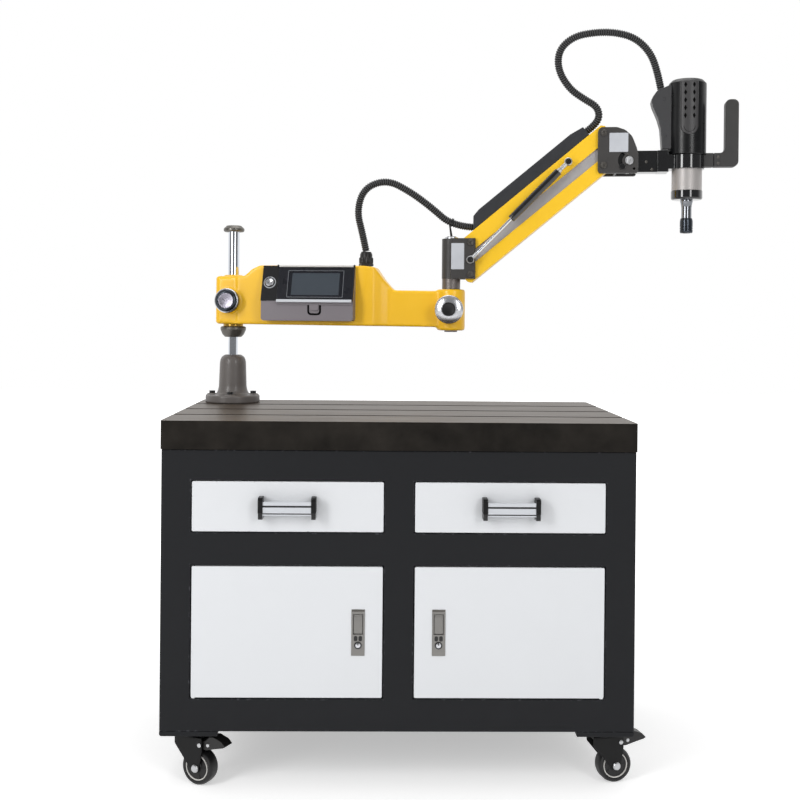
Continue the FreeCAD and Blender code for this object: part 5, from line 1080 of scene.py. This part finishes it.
def make_controls():
    """Box, bezel, screen with its line, smoked cover with a painted highlight on its lip, tab with painted
    shade round it, button, gland.
    """
    rings = []
    for y, inset, top in ((-42, 0, 344), (-46, 0, 344), (-76.2, 0, 261), (-77.5, 0.5, 257.4),
                          (-78, 1.6, 254.5)):
        outline = corners([(90 + inset, 208 + inset), (321 - inset, 208 + inset), (321 - inset, top),
                           (90 + inset, top)], [7, 7, 1, 1])
        rings.append([(x, y, z) for x, z in outline])
    box = Shape().loft(rings)
    box.skin("control_box", "box_grey", ARM, slot="controller_case")
    refine("display_bezel", "gloss_black", 0.4)
    refine("drive_controller", "black_plastic", 1)
    surround = Shape().block((40.5, -3.5, -92.6), (229.5, -2.9, -2.5))
    window = Shape().block((66.7, -5, -82.3), (202.3, 0, -15.7))
    surround.piece("screen_surround", "arm1", "screen_surround", PANEL, carved=[(window, PANEL)],
                   slot="black_plastic")
    line = Shape().prism(rectangle(64.4, -84.6, 204.6, -13.4, 1.5), -3.9, -3.4)
    hole = Shape().prism(rectangle(65.6, -83.4, 203.4, -14.6, 1), -6, 0)
    line.piece("screen_line", "arm1", "screen_line", PANEL, carved=[(hole, PANEL)], slot="black_plastic")
    refine("touchscreen", "screen_dark", 0.3)
    display = Shape().block((75, -2.75, -78), (194, -2.4, -20))
    display.piece("screen_display", "arm1", "screen_display", PANEL, slot="screen_glass")

    sheet = Shape().prism(rectangle(41, -94, 228, -4, 1.5), -7.75, -5.25)
    sheet.soften(0.4, 2)
    sheet.skin("screen_cover", "smoked_cover", PANEL)
    barrel = Shape().turn([(1.1, 41), (2.3, 41), (2.6, 41.4), (2.6, 227.6), (2.3, 228), (1.1, 228)],
                          place(0, -6.5, -3), "x", 32, closed=True)
    barrel.piece("screen_cover_barrel", "cover", "pale_ring", PANEL, slot="clear_cover")
    # the lip of the cover in a pale finish, a painted highlight where it faces up to the light
    lip = Shape().prism(corners([(-10.4, -99.4), (-7.9, -99.4), (-7.9, -92), (-9.2, -92)], 0.6), 41, 228, "x")
    lip.block((41.2, -9.0, -99.2), (227.8, -5.2, -94))
    lip.piece("screen_cover_lip_painted_highlight", "cover", "pale_metal_and_painted_highlight", PANEL, slot="clear_cover")
    face = ARM @ place(90, -78)
    apron = Shape().prism(rectangle(41, 247, 228, 256, 0.8), -2.6, -1.0)
    apron.soften(0.4, 1)
    apron.piece("screen_cover_apron", "cover", "box_grey", face, slot="clear_cover")
    tab = Shape().prism(corners([(123, 233.5), (146, 233.5), (146, 248), (123, 248)], [6, 6, 1, 1]),
                        -3.4, -1.4)
    tab.soften(0.6)
    tab.piece("screen_cover_tab", "cover", "box_grey", face, slot="clear_cover")
    # a flush dark U round the tab, painted shade for its finger recess
    outer = corners([(117.5, 247), (117.5, 222), (151.5, 222), (151.5, 247)], [0, 9, 9, 0])
    inner = corners([(147.2, 247), (147.2, 226.6), (121.8, 226.6), (121.8, 247)], [0, 6, 6, 0])
    painted_recess_shade = Shape().prism(outer + inner, -0.6, 0.2)
    painted_recess_shade.piece("tab_recess_painted_shade", "arm1", "painted_hole_shade", face, slot="black_case")

    spot = place(20, 0, -46)
    button = Shape().turn([(0, 9), (10.5, 9), (10.5, -7.2), (9.8, -8), (8.6, -8), (8.0, -7.2), (5, -6.6),
                           (0, -6.4)], spot, "y", 72)
    button.turn([(10.4, 5.7), (12.5, 5.7), (12.5, 7.5), (10.4, 7.5)], spot, "y", 72, closed=True)
    button.skin("power_button", "satin_chrome", PANEL)
    slots = Shape()
    for k in range(3):
        slots.block((-0.7, -7.15, 1.6), (0.7, -6.2, 5.6), spot @ Matrix.Rotation(TAU * k / 3, 4, "Y"))
    slots.piece("power_button_marks", "button", "satin_black", PANEL, slot="handle_chrome")
    ring = Shape().turn([(12.5, -2.9), (15.2, -2.9), (15.2, -4.4), (14.7, -5.5), (13.8, -6.1), (12.8, -5.7)],
                        spot, "y", 72, closed=True)
    ring.piece("power_button_ring", "arm1", "pale_metal_and_painted_highlight", PANEL, slot="black_plastic")

    ribs = teeth(24, 0.03)
    gland = Shape().turn([(7.25, 0), (18.3, 0, hexagon), (18.5, 0.6, hexagon), (18.5, 6, hexagon),
                          (18.2, 6.6, hexagon), (16.2, 7), (17.4, 8, ribs), (17.4, 20, ribs), (15.5, 22.3),
                          (15.5, 28.8), (12.5, 36), (7.25, 36)], None, "z", 96, closed=True)
    gland.skin("cable_gland", "dark_plastic", ARM @ place(340.8, 0, 346))


# ---------------------------------------------------------------- second arm


def make_pivot():
    """Shaft with its spacer and chrome nut, and the block with its slot, pins and plain plate."""
    shaft = Shape().rod(12, 184, 420.5, None, "z", 48)
    shaft.turn([(12, 289.9), (22.4, 289.9), (22.6, 290.2), (22.6, 314.8), (12, 314.8)], None, "z", 96,
               closed=True)
    shaft.turn([(12, 183.5), (15.6, 183.5), (16, 183.9), (16, 186.7), (12, 186.7)], None, "z", 64,
               closed=True)
    for z in (302.5, 311.8):
        shaft.turn([(22.4, z - 0.5), (22.95, z - 0.2), (22.95, z + 0.2), (22.4, z + 0.5)], None, "z", 96,
                   closed=True)
    shaft.skin("pivot_shaft", "brushed_steel", PIVOT)
    nut = Shape().turn([(12, 414.5), (16.5, 414.5), (17, 415), (17, 417.8), (16.2, 418.6), (12.6, 418.6),
                        (12.2, 419.8), (0, 420.6)], None, "z", 96)
    nut.piece("pivot_nut", "pivot", "satin_chrome", PIVOT, slot="zinc_steel")
    tie = Shape().turn([(9.6, -2.4), (11.2, -2.4), (11.2, 2.4), (9.6, 2.4)], TIE, "x", 40, closed=True)
    ring = tie.piece("conduit_tie", None, "satin_black", PIVOT, slot="conduit_rubber")
    stem = Shape().prism(corners([(-3, 419.5), (3, 419.5), (-1.8, 444.7), (-6.2, 446.5)], [1, 1, 0, 0]),
                         -1.2, 1.2)
    strap = stem.piece("conduit_tie_stem", None, "satin_black", PIVOT, slot="conduit_rubber")
    for item, span in ((ring, TIE_SPAN), (strap, STEM_SPAN)):
        blended(item)

    barrel, cheek, start, reach = 23.5, 37, 2, 61.5
    arc = [(barrel * math.cos(a), barrel * math.sin(a)) for a in np.linspace(TAU / 4, 3 * TAU / 4, 25)]
    outline = arc + corners([(start, -cheek), (reach, -cheek), (reach, cheek), (start, cheek)], [1, 5, 5, 1])
    block = Shape().prism([(float(x), float(y)) for x, y in outline], 315, 414.5, "z")
    block.soften(1.3)
    slot = Shape().block((23.8, -25.5, 300), (80, 25.5, 430))
    block.skin("pivot_block", "dark_paint", PIVOT, carved=[(slot, PIVOT)])
    heads = Shape()
    for z in (LOWER_PIN, UPPER_PIN):
        heads.pair(PIN_X, cheek, z, 8, 4.6)
        heads.rod(6, -cheek, cheek, place(PIN_X, 0, z), "y", 32)
    heads.piece("pivot_block_pins", "pivot", "black_oxide_screw", PIVOT, slot="grey_steel")
    strut = Shape()
    for side, axis in ((-1, "-y"), (1, "y")):
        strut.rod(4, side * 26, side * 51, place(PIN_X, 0, STRUT_PIN), "y", 32)
        strut.turn([(3.9, side * 36.8), (9, side * 36.8), (9, side * 39.4), (3.9, side * 39.4)],
                   place(PIN_X, 0, STRUT_PIN), "y", 36, closed=True)
        strut.screw((PIN_X, side * 50.6, STRUT_PIN), 6.5, 3.4, axis)
    strut.piece("pivot_strut_pin", "pivot", "satin_black", PIVOT, slot="grey_steel")
    plate = Shape().prism(rectangle(2.4, 338, 34, 402, 1.5), -cheek - 0.5, -cheek)
    plate.piece("pivot_plain_plate", "pivot", "plain_plate", PIVOT, slot="dark_paint")


def make_links():
    """Upper and lower link with their covers, and the studs of the struts."""
    refine("upper_link", "yellow_steel_paint", 2.4, 3, keep=lambda p: abs((UPPER.inverted()
           @ (p * 1000)).y) < 25.2)
    refine("lower_link", "yellow_steel_paint", 2.4, 3)
    refine("link_shield", "shield_grey", 0.6)
    refine("cable_cover", "cover_grey", 2.6, 3)
    stud = Shape()
    for side, axis in ((-1, "-y"), (1, "y")):
        stud.turn([(0, side * 24.5), (7.5, side * 24.5), (7.5, side * 27), (4, side * 27.4),
                   (4, side * 50.4), (0, side * 50.4)], place(STUD_AT), "y", 36)
        stud.screw((STUD_AT, side * 50.4, 0), 6.9, 3.0, axis)
    stud.piece("strut_studs", "upper", "satin_black", UPPER, slot="grey_steel")


def make_struts():
    """Each gas strut is a black cylinder on the upper link and a chrome rod towards the pivot block."""
    tubes, ends, stems, eyes = Shape(), Shape(), Shape(), Shape()
    far = STRUT_LENGTH
    for side in (-1, 1):
        line = place(0, side * 46)
        tubes.turn([(0, 33.5), (8.6, 33.5), (9.5, 34.6), (9.5, 186), (9.1, 186.6), (9.1, 188), (9.5, 188.6),
                    (9.5, 192.6), (8.2, 195), (4.1, 195), (4.1, 184), (0, 184)], line, "x", 48)
        ends.turn([(4.05, -4), (8.7, -4), (9.5, -3.2), (9.5, 3.2), (8.7, 4), (4.05, 4)], line, "y", 48,
                  closed=True)
        ends.turn([(0, 8.6), (5, 8.6), (5, 26), (6.4, 27.4), (6.4, 33.6), (0, 33.6)], line, "x", 32)
        stems.rod(4, 178, far - 20, line, "x", 32)
        eyes.turn([(0, far - 24), (4.6, far - 24), (5.2, far - 23.2), (5.2, far - 8.6), (0, far - 8.6)],
                  line, "x", 32)
        eyes.turn([(7.3, -4), (8.9, -4), (9.5, -3.4), (9.5, 3.4), (8.9, 4), (7.3, 4)], place(far, side * 46),
                  "y", 48, closed=True)
    tubes.skin("strut_cylinders", "gloss_black", STRUT)
    ends.piece("strut_upper_ends", "strut_tubes", "zinc_steel", STRUT, slot="zinc_steel")
    stems.skin("strut_rods", "hard_chrome", STRUT)
    eyes.piece("strut_lower_ends", "strut_stems", "zinc_steel", STRUT, slot="zinc_steel")


def make_end_block():
    """Two side plates on a core, with the curved slot of the tilt lock in both plates."""
    outline = corners([(-14, -97.5), (82.3, -97.5), (82.3, -51.5), (78.3, -35.5), (67.3, -8), (51.3, 7),
                       (31.3, 14), (-14, 14)], [8, 6, 12, 40, 25, 25, 25, 12])
    block = Shape()
    for side in (-1, 1):
        block.prism(outline, *both(side, (25.5, 36)))
    block.soften(1.2)
    core = Shape()
    run, half = 21.5, 5
    inner_arc = [(run - half, a) for a in np.linspace(223, 135, 17)]
    outer_arc = [(run + half, a) for a in np.linspace(135, 223, 17)]

    def spot(radius, degrees):
        return (60.5 + radius * math.cos(math.radians(degrees)),
                -67.5 + radius * math.sin(math.radians(degrees)))

    def cap(degrees, first):
        """The round end of the slot: a half circle about the end of its middle line."""
        x, z = spot(run, degrees)
        return [(x + half * math.cos(math.radians(first + 22.5 * k)),
                 z + half * math.sin(math.radians(first + 22.5 * k))) for k in range(1, 8)]

    arc = [spot(*pair) for pair in outer_arc] + cap(223, 223) + [spot(*pair) for pair in inner_arc]
    arc += cap(135, 135 + 180)
    slot = Shape().prism([(float(x), float(z)) for x, z in arc], -60, 60)
    hole = Shape().rod(3.2, -60, 60, place(72.3, 0, -86.9), "y", 32)
    block.piece("end_plates", "end", "dark_paint", END, carved=[(slot, END), (hole, END)],
                replaces=("end_block",), slot="dark_paint")
    core.block((25.5, -25.5, -97.2), (31.5, 25.5, 13.4))
    core.soften(0.5, 1)
    core.piece("end_core", "end", "dark_paint", END, slot="dark_paint")
    heads = Shape()
    for z in (0, -78):
        heads.pair(0, 36, z, 8, 4)
        heads.rod(6, -36, 36, place(0, 0, z), "y", 32)
    heads.screw((57, -36, -52.9), 3.0, 2.2, "-y")
    heads.screw((57, 36, -52.9), 3.0, 2.2, "y")
    heads.piece("end_pins", "end", "black_oxide_screw", END, slot="grey_steel")
    tilt = Shape()
    tilt.pair(60.5, 36, -67.5, 10, 4.5)
    tilt.rod(8, -36, 36, place(60.5, 0, -67.5), "y", 36)
    tilt.piece("end_tilt_pin", "end", "zinc_steel", END, slot="zinc_steel")
    plate = Shape().prism(rectangle(13.2, -46.5, 58, -0.5, 2), -36.5, -36)
    plate.piece("end_plain_plate", "end", "plain_plate", END, slot="dark_paint")


def make_tilt_bracket():
    refine("tilt_bracket", "gloss_black", 1)
    screws = Shape()
    for x, z in ((42, -1.4), (55, -19.5)):
        screws.screw((x, -19.5, z), 3.6, 1.8, "-y")
    screws.piece("bracket_screws", "head", "black_oxide_screw", TILT, slot="dark_paint")


# ---------------------------------------------------------------- tapping head


def make_head():
    """Clamp, motor housing with its vent panel, nose ring."""
    refine("head_clamp", "gloss_black", 1.2)
    housing = Shape().turn([(0, 15.2), (43.6, 15.2), (45, 16.6), (45, 187.2), (44.2, 189.4), (37.2, 196.6),
                            (35, 197.4), (0, 197.4)], None, "z", 128)
    housing.skin("motor_housing", "housing_black", HEAD)

    make_vent_panel()
    make_vent_marks()
    ring = Shape().turn([(35.9, -70.9), (37.5, -71.4), (37.5, -87.4), (36.6, -90.2), (34.6, -91.8),
                         (33.4, -92.2), (13, -92.2), (13, -90), (12.2, -90), (12.2, -70.9)],
                        segments=128, closed=True)
    ring.skin("nose_ring", "gloss_black", HEAD, slot="head_black")


def make_vent_panel():
    """The raised panel on the front of the housing, with a half circle as its foot."""
    low, high, half = 61, 190, 21

    def widths(z):
        """How far the vent panel reaches to each side at a height: its foot is a half circle."""
        if z > low + half:
            return half
        return math.sqrt(max(half * half - (low + half - z) ** 2, 0))

    panel = Shape()
    rows = [low + half * (1 - math.cos(k * TAU / 4 / 10)) for k in range(11)]
    rows += [float(z) for z in np.linspace(low + half, high - 3, 24)[1:]] + [high - 1.2, high]
    across = 24
    fronts, backs = [], []
    for z in rows:
        reach = max(widths(z), 0.4) - (2.0 if z == high else 0.6 if z > high - 2 else 0)
        front, back = [], []
        for k in range(across + 1):
            share = 2 * k / across - 1
            x = reach * share
            rim = min(1.0, (1 - abs(share)) * reach / 1.6, (z - low) / 1.6 + 0.1, (high - z) / 1.6 + 0.05)
            radius = 45.05 + 1.75 * math.sin(max(rim, 0) * TAU / 4)
            front.append(panel.bm.verts.new((x, -math.sqrt(radius * radius - x * x), z)))
            back.append(panel.bm.verts.new((x, -math.sqrt(43.4 * 43.4 - x * x), z)))
        fronts.append(front)
        backs.append(back)
    faces = []
    for grid in (fronts, backs):
        for one, two in zip(grid, grid[1:]):
            for k in range(across):
                faces.append(panel.bm.faces.new((one[k], one[k + 1], two[k + 1], two[k])))
    for i in range(len(rows) - 1):
        for k in (0, across):
            faces.append(panel.bm.faces.new((fronts[i][k], fronts[i + 1][k], backs[i + 1][k], backs[i][k])))
    for i in (0, -1):
        for k in range(across):
            faces.append(panel.bm.faces.new((fronts[i][k], fronts[i][k + 1], backs[i][k + 1], backs[i][k])))
    panel.finish_part([], faces, None)
    panel.piece("vent_panel", "head", "vent_grey", HEAD, slot="head_black", sharp=50)


def wrapped(outline, near):
    """An outline over the front of the vent panel, from a radius out to just above its face."""
    return [[(float(x), -math.sqrt(r * r - x * x), float(z)) for x, z in outline] for r in (near, 46.98)]


def make_vent_marks():
    """Two rows of diamond vent holes and the scoop at the foot as flush sheets of painted shade, and the seam
    between the rows.
    """
    # the diamond vent holes are flush dark sheets, painted shade for the dark inside of the holes
    marks = Shape()
    for z in (179.4, 160.9, 142.4, 123.9, 105.4):
        for x in (-10.2, 10.2):
            marks.loft(wrapped(corners([(x - 3.5, z), (x, z - 7.25), (x + 3.5, z), (x, z + 7.25)], 0.8),
                       46.2))
    marks.piece("vent_holes_painted_shade", "head", "painted_hole_shade", HEAD, slot="head_black")
    seam = Shape().loft(wrapped(rectangle(-0.35, 84, 0.35, 189), 46.4))
    seam.piece("vent_seam", "head", "cable_box_grey", HEAD, slot="head_black")
    # the scoop at the foot is a flush dark sheet too, painted shade for its hollow
    outline = [(13.5 * math.cos(a), 80 + 13.5 * math.sin(a)) for a in np.linspace(TAU / 2, TAU, 19)]
    scoop = Shape().loft(wrapped(outline + [(13.5, 81.5), (-13.5, 81.5)], 46.2))
    scoop.piece("vent_scoop_painted_shade", "head", "painted_hole_shade", HEAD, slot="head_black")


def make_spindle():
    """Chrome spindle with its waist, and the knurled chuck sleeve."""
    spindle = Shape().turn([(0, -58.8), (12.15, -58.8), (12.15, -92.6), (14.4, -92.6), (15, -93.2),
                    (15, -96.6), (14.2, -98.5), (12.8, -106), (12.2, -112), (12.2, -172), (11.8, -172.5),
                    (9.6, -172.5), (9.5, -172), (9.5, -142), (0, -142)], None, "z", 96)
    spindle.skin("spindle", "spindle_steel", HEAD)
    sleeve = Shape().turn([(12.3, -172.4), (13.4, -172.4), (14.8, -171.2), (15.4, -168.4), (15.4, -165.2),
                           (14.7, -164.6), (14.7, -163.4), (15.4, -162.8), (15.4, -159.4), (14.7, -158.8),
                           (14.7, -157.6), (15.4, -157.0), (15.4, -145.0), (14.6, -139.6), (13.4, -136.6),
                           (12.3, -136.6)], None, "z", 96, closed=True)
    sleeve.skin("chuck_sleeve", "blued_steel", HEAD, slot="knob_steel")


def make_gearbox():
    gearbox = Shape().turn([(0, -70.8), (35.2, -70.8), (35.8, -70.2), (35.8, 15), (0, 15)], None, "z", 128)
    gearbox.skin("gear_motor", "matte_silver", HEAD)


def make_cable_box():
    """The box at the back of the housing, into which the conduit runs."""
    outline = corners([(-38, 29.7), (-38, 187), (-53, 180.5), (-73.5, 171.5), (-84, 157), (-87.5, 146),
                       (-84, 133), (-72, 105), (-65, 81), (-61, 29.7)], [0, 4, 20, 14, 16, 12, 40, 40, 30, 3])
    box = Shape().prism(outline, -20, 20)
    box.soften(2.6, 3)
    inside = Shape().rod(45.1, -10, 240, None, "z", 96)
    box.skin("cable_box", "cable_box_grey", HEAD, carved=[(inside, HEAD)], slot="black_plastic")
    marks = Shape()
    for x, z, half in ((-57, 150, 3.4), (-53.5, 60, 2.6)):
        marks.prism(rectangle(x - half, z - half, x + half, z + half, 0.5) + rectangle(x - half + 1,
                    z - half + 1, x + half - 1, z + half - 1, 0.3)[::-1], -20.25, -19.8)
    marks.piece("cable_box_marks", "head", "satin_black", HEAD, slot="black_plastic")


def make_handle():
    """The bent grip, with its seat on the clamp."""
    split, left, right, low, bar, top = 61.5, 88.3, 119.7, -13, 20, 149
    seat = Shape().block((35, -14, low), (split - 0.2, 14, bar))
    seat.soften(2.2, 3)
    ring = Shape().turn([(0, -50), (41.1, -50), (41.1, 15.1), (45.1, 15.1), (45.1, 60), (0, 60)], None, "z",
                 96)
    seat.piece("handle_seat", "head", "black_plastic", HEAD, carved=[(ring, HEAD)], slot="black_plastic")
    outline = corners([(split + 0.2, low), (right, low), (right, top), (left, top), (left, bar),
                       (split + 0.2, bar)], [2, 13, 12, 12, 16, 2])
    grip = Shape().prism(outline, -14, 14)
    grip.soften(4.5, 4)
    grip.skin("head_handle", "black_plastic", HEAD)
    bolts = Shape()
    for z in (-5, 10):
        bolts.screw((72, -14, z), 3.6, 1.4, "-y")
        bolts.screw((72, 14, z), 3.6, 1.4, "y")
    bolts.piece("handle_screws", "head", "black_oxide_screw", HEAD, slot="grey_steel")


# ---------------------------------------------------------------- build


def build():
    make_camera()
    make_studio()
    make_floor()
    make_materials()
    hose = ("conduit_plastic", "conduit_valley_painted_shade")
    make_conduit("arm_conduit", ARM_CONDUIT, (500, 496), (("arm1", "pivot"), ("pivot", "upper")),
                 (((345, 400), (498, 400)), TIE_SPAN), hose)
    make_conduit("head_conduit", HEAD_CONDUIT, (818, 872), (("upper", "end"), ("end", "head")),
                 (((883, 690), (815, 850)), ((851, 912), (1050, 830))), hose)
    refine("table_top", "table_cast_side", 1.2, rounded=lambda a, b: 0.006 if abs(a.z - b.z) > 0.05 else 0,
           extra=("table_planed_top",), second=lambda face: face.normal.z > 0.7)
    refine("drawer_runners", "zinc_steel", 0.5)
    for make in (make_frame, make_panels, make_drawers, make_doors, make_casters, make_column,
                 make_first_arm, make_controls, make_pivot, make_links, make_struts, make_end_block,
                 make_tilt_bracket, make_head, make_gearbox, make_spindle, make_cable_box,
                 make_handle):
        make()


build()
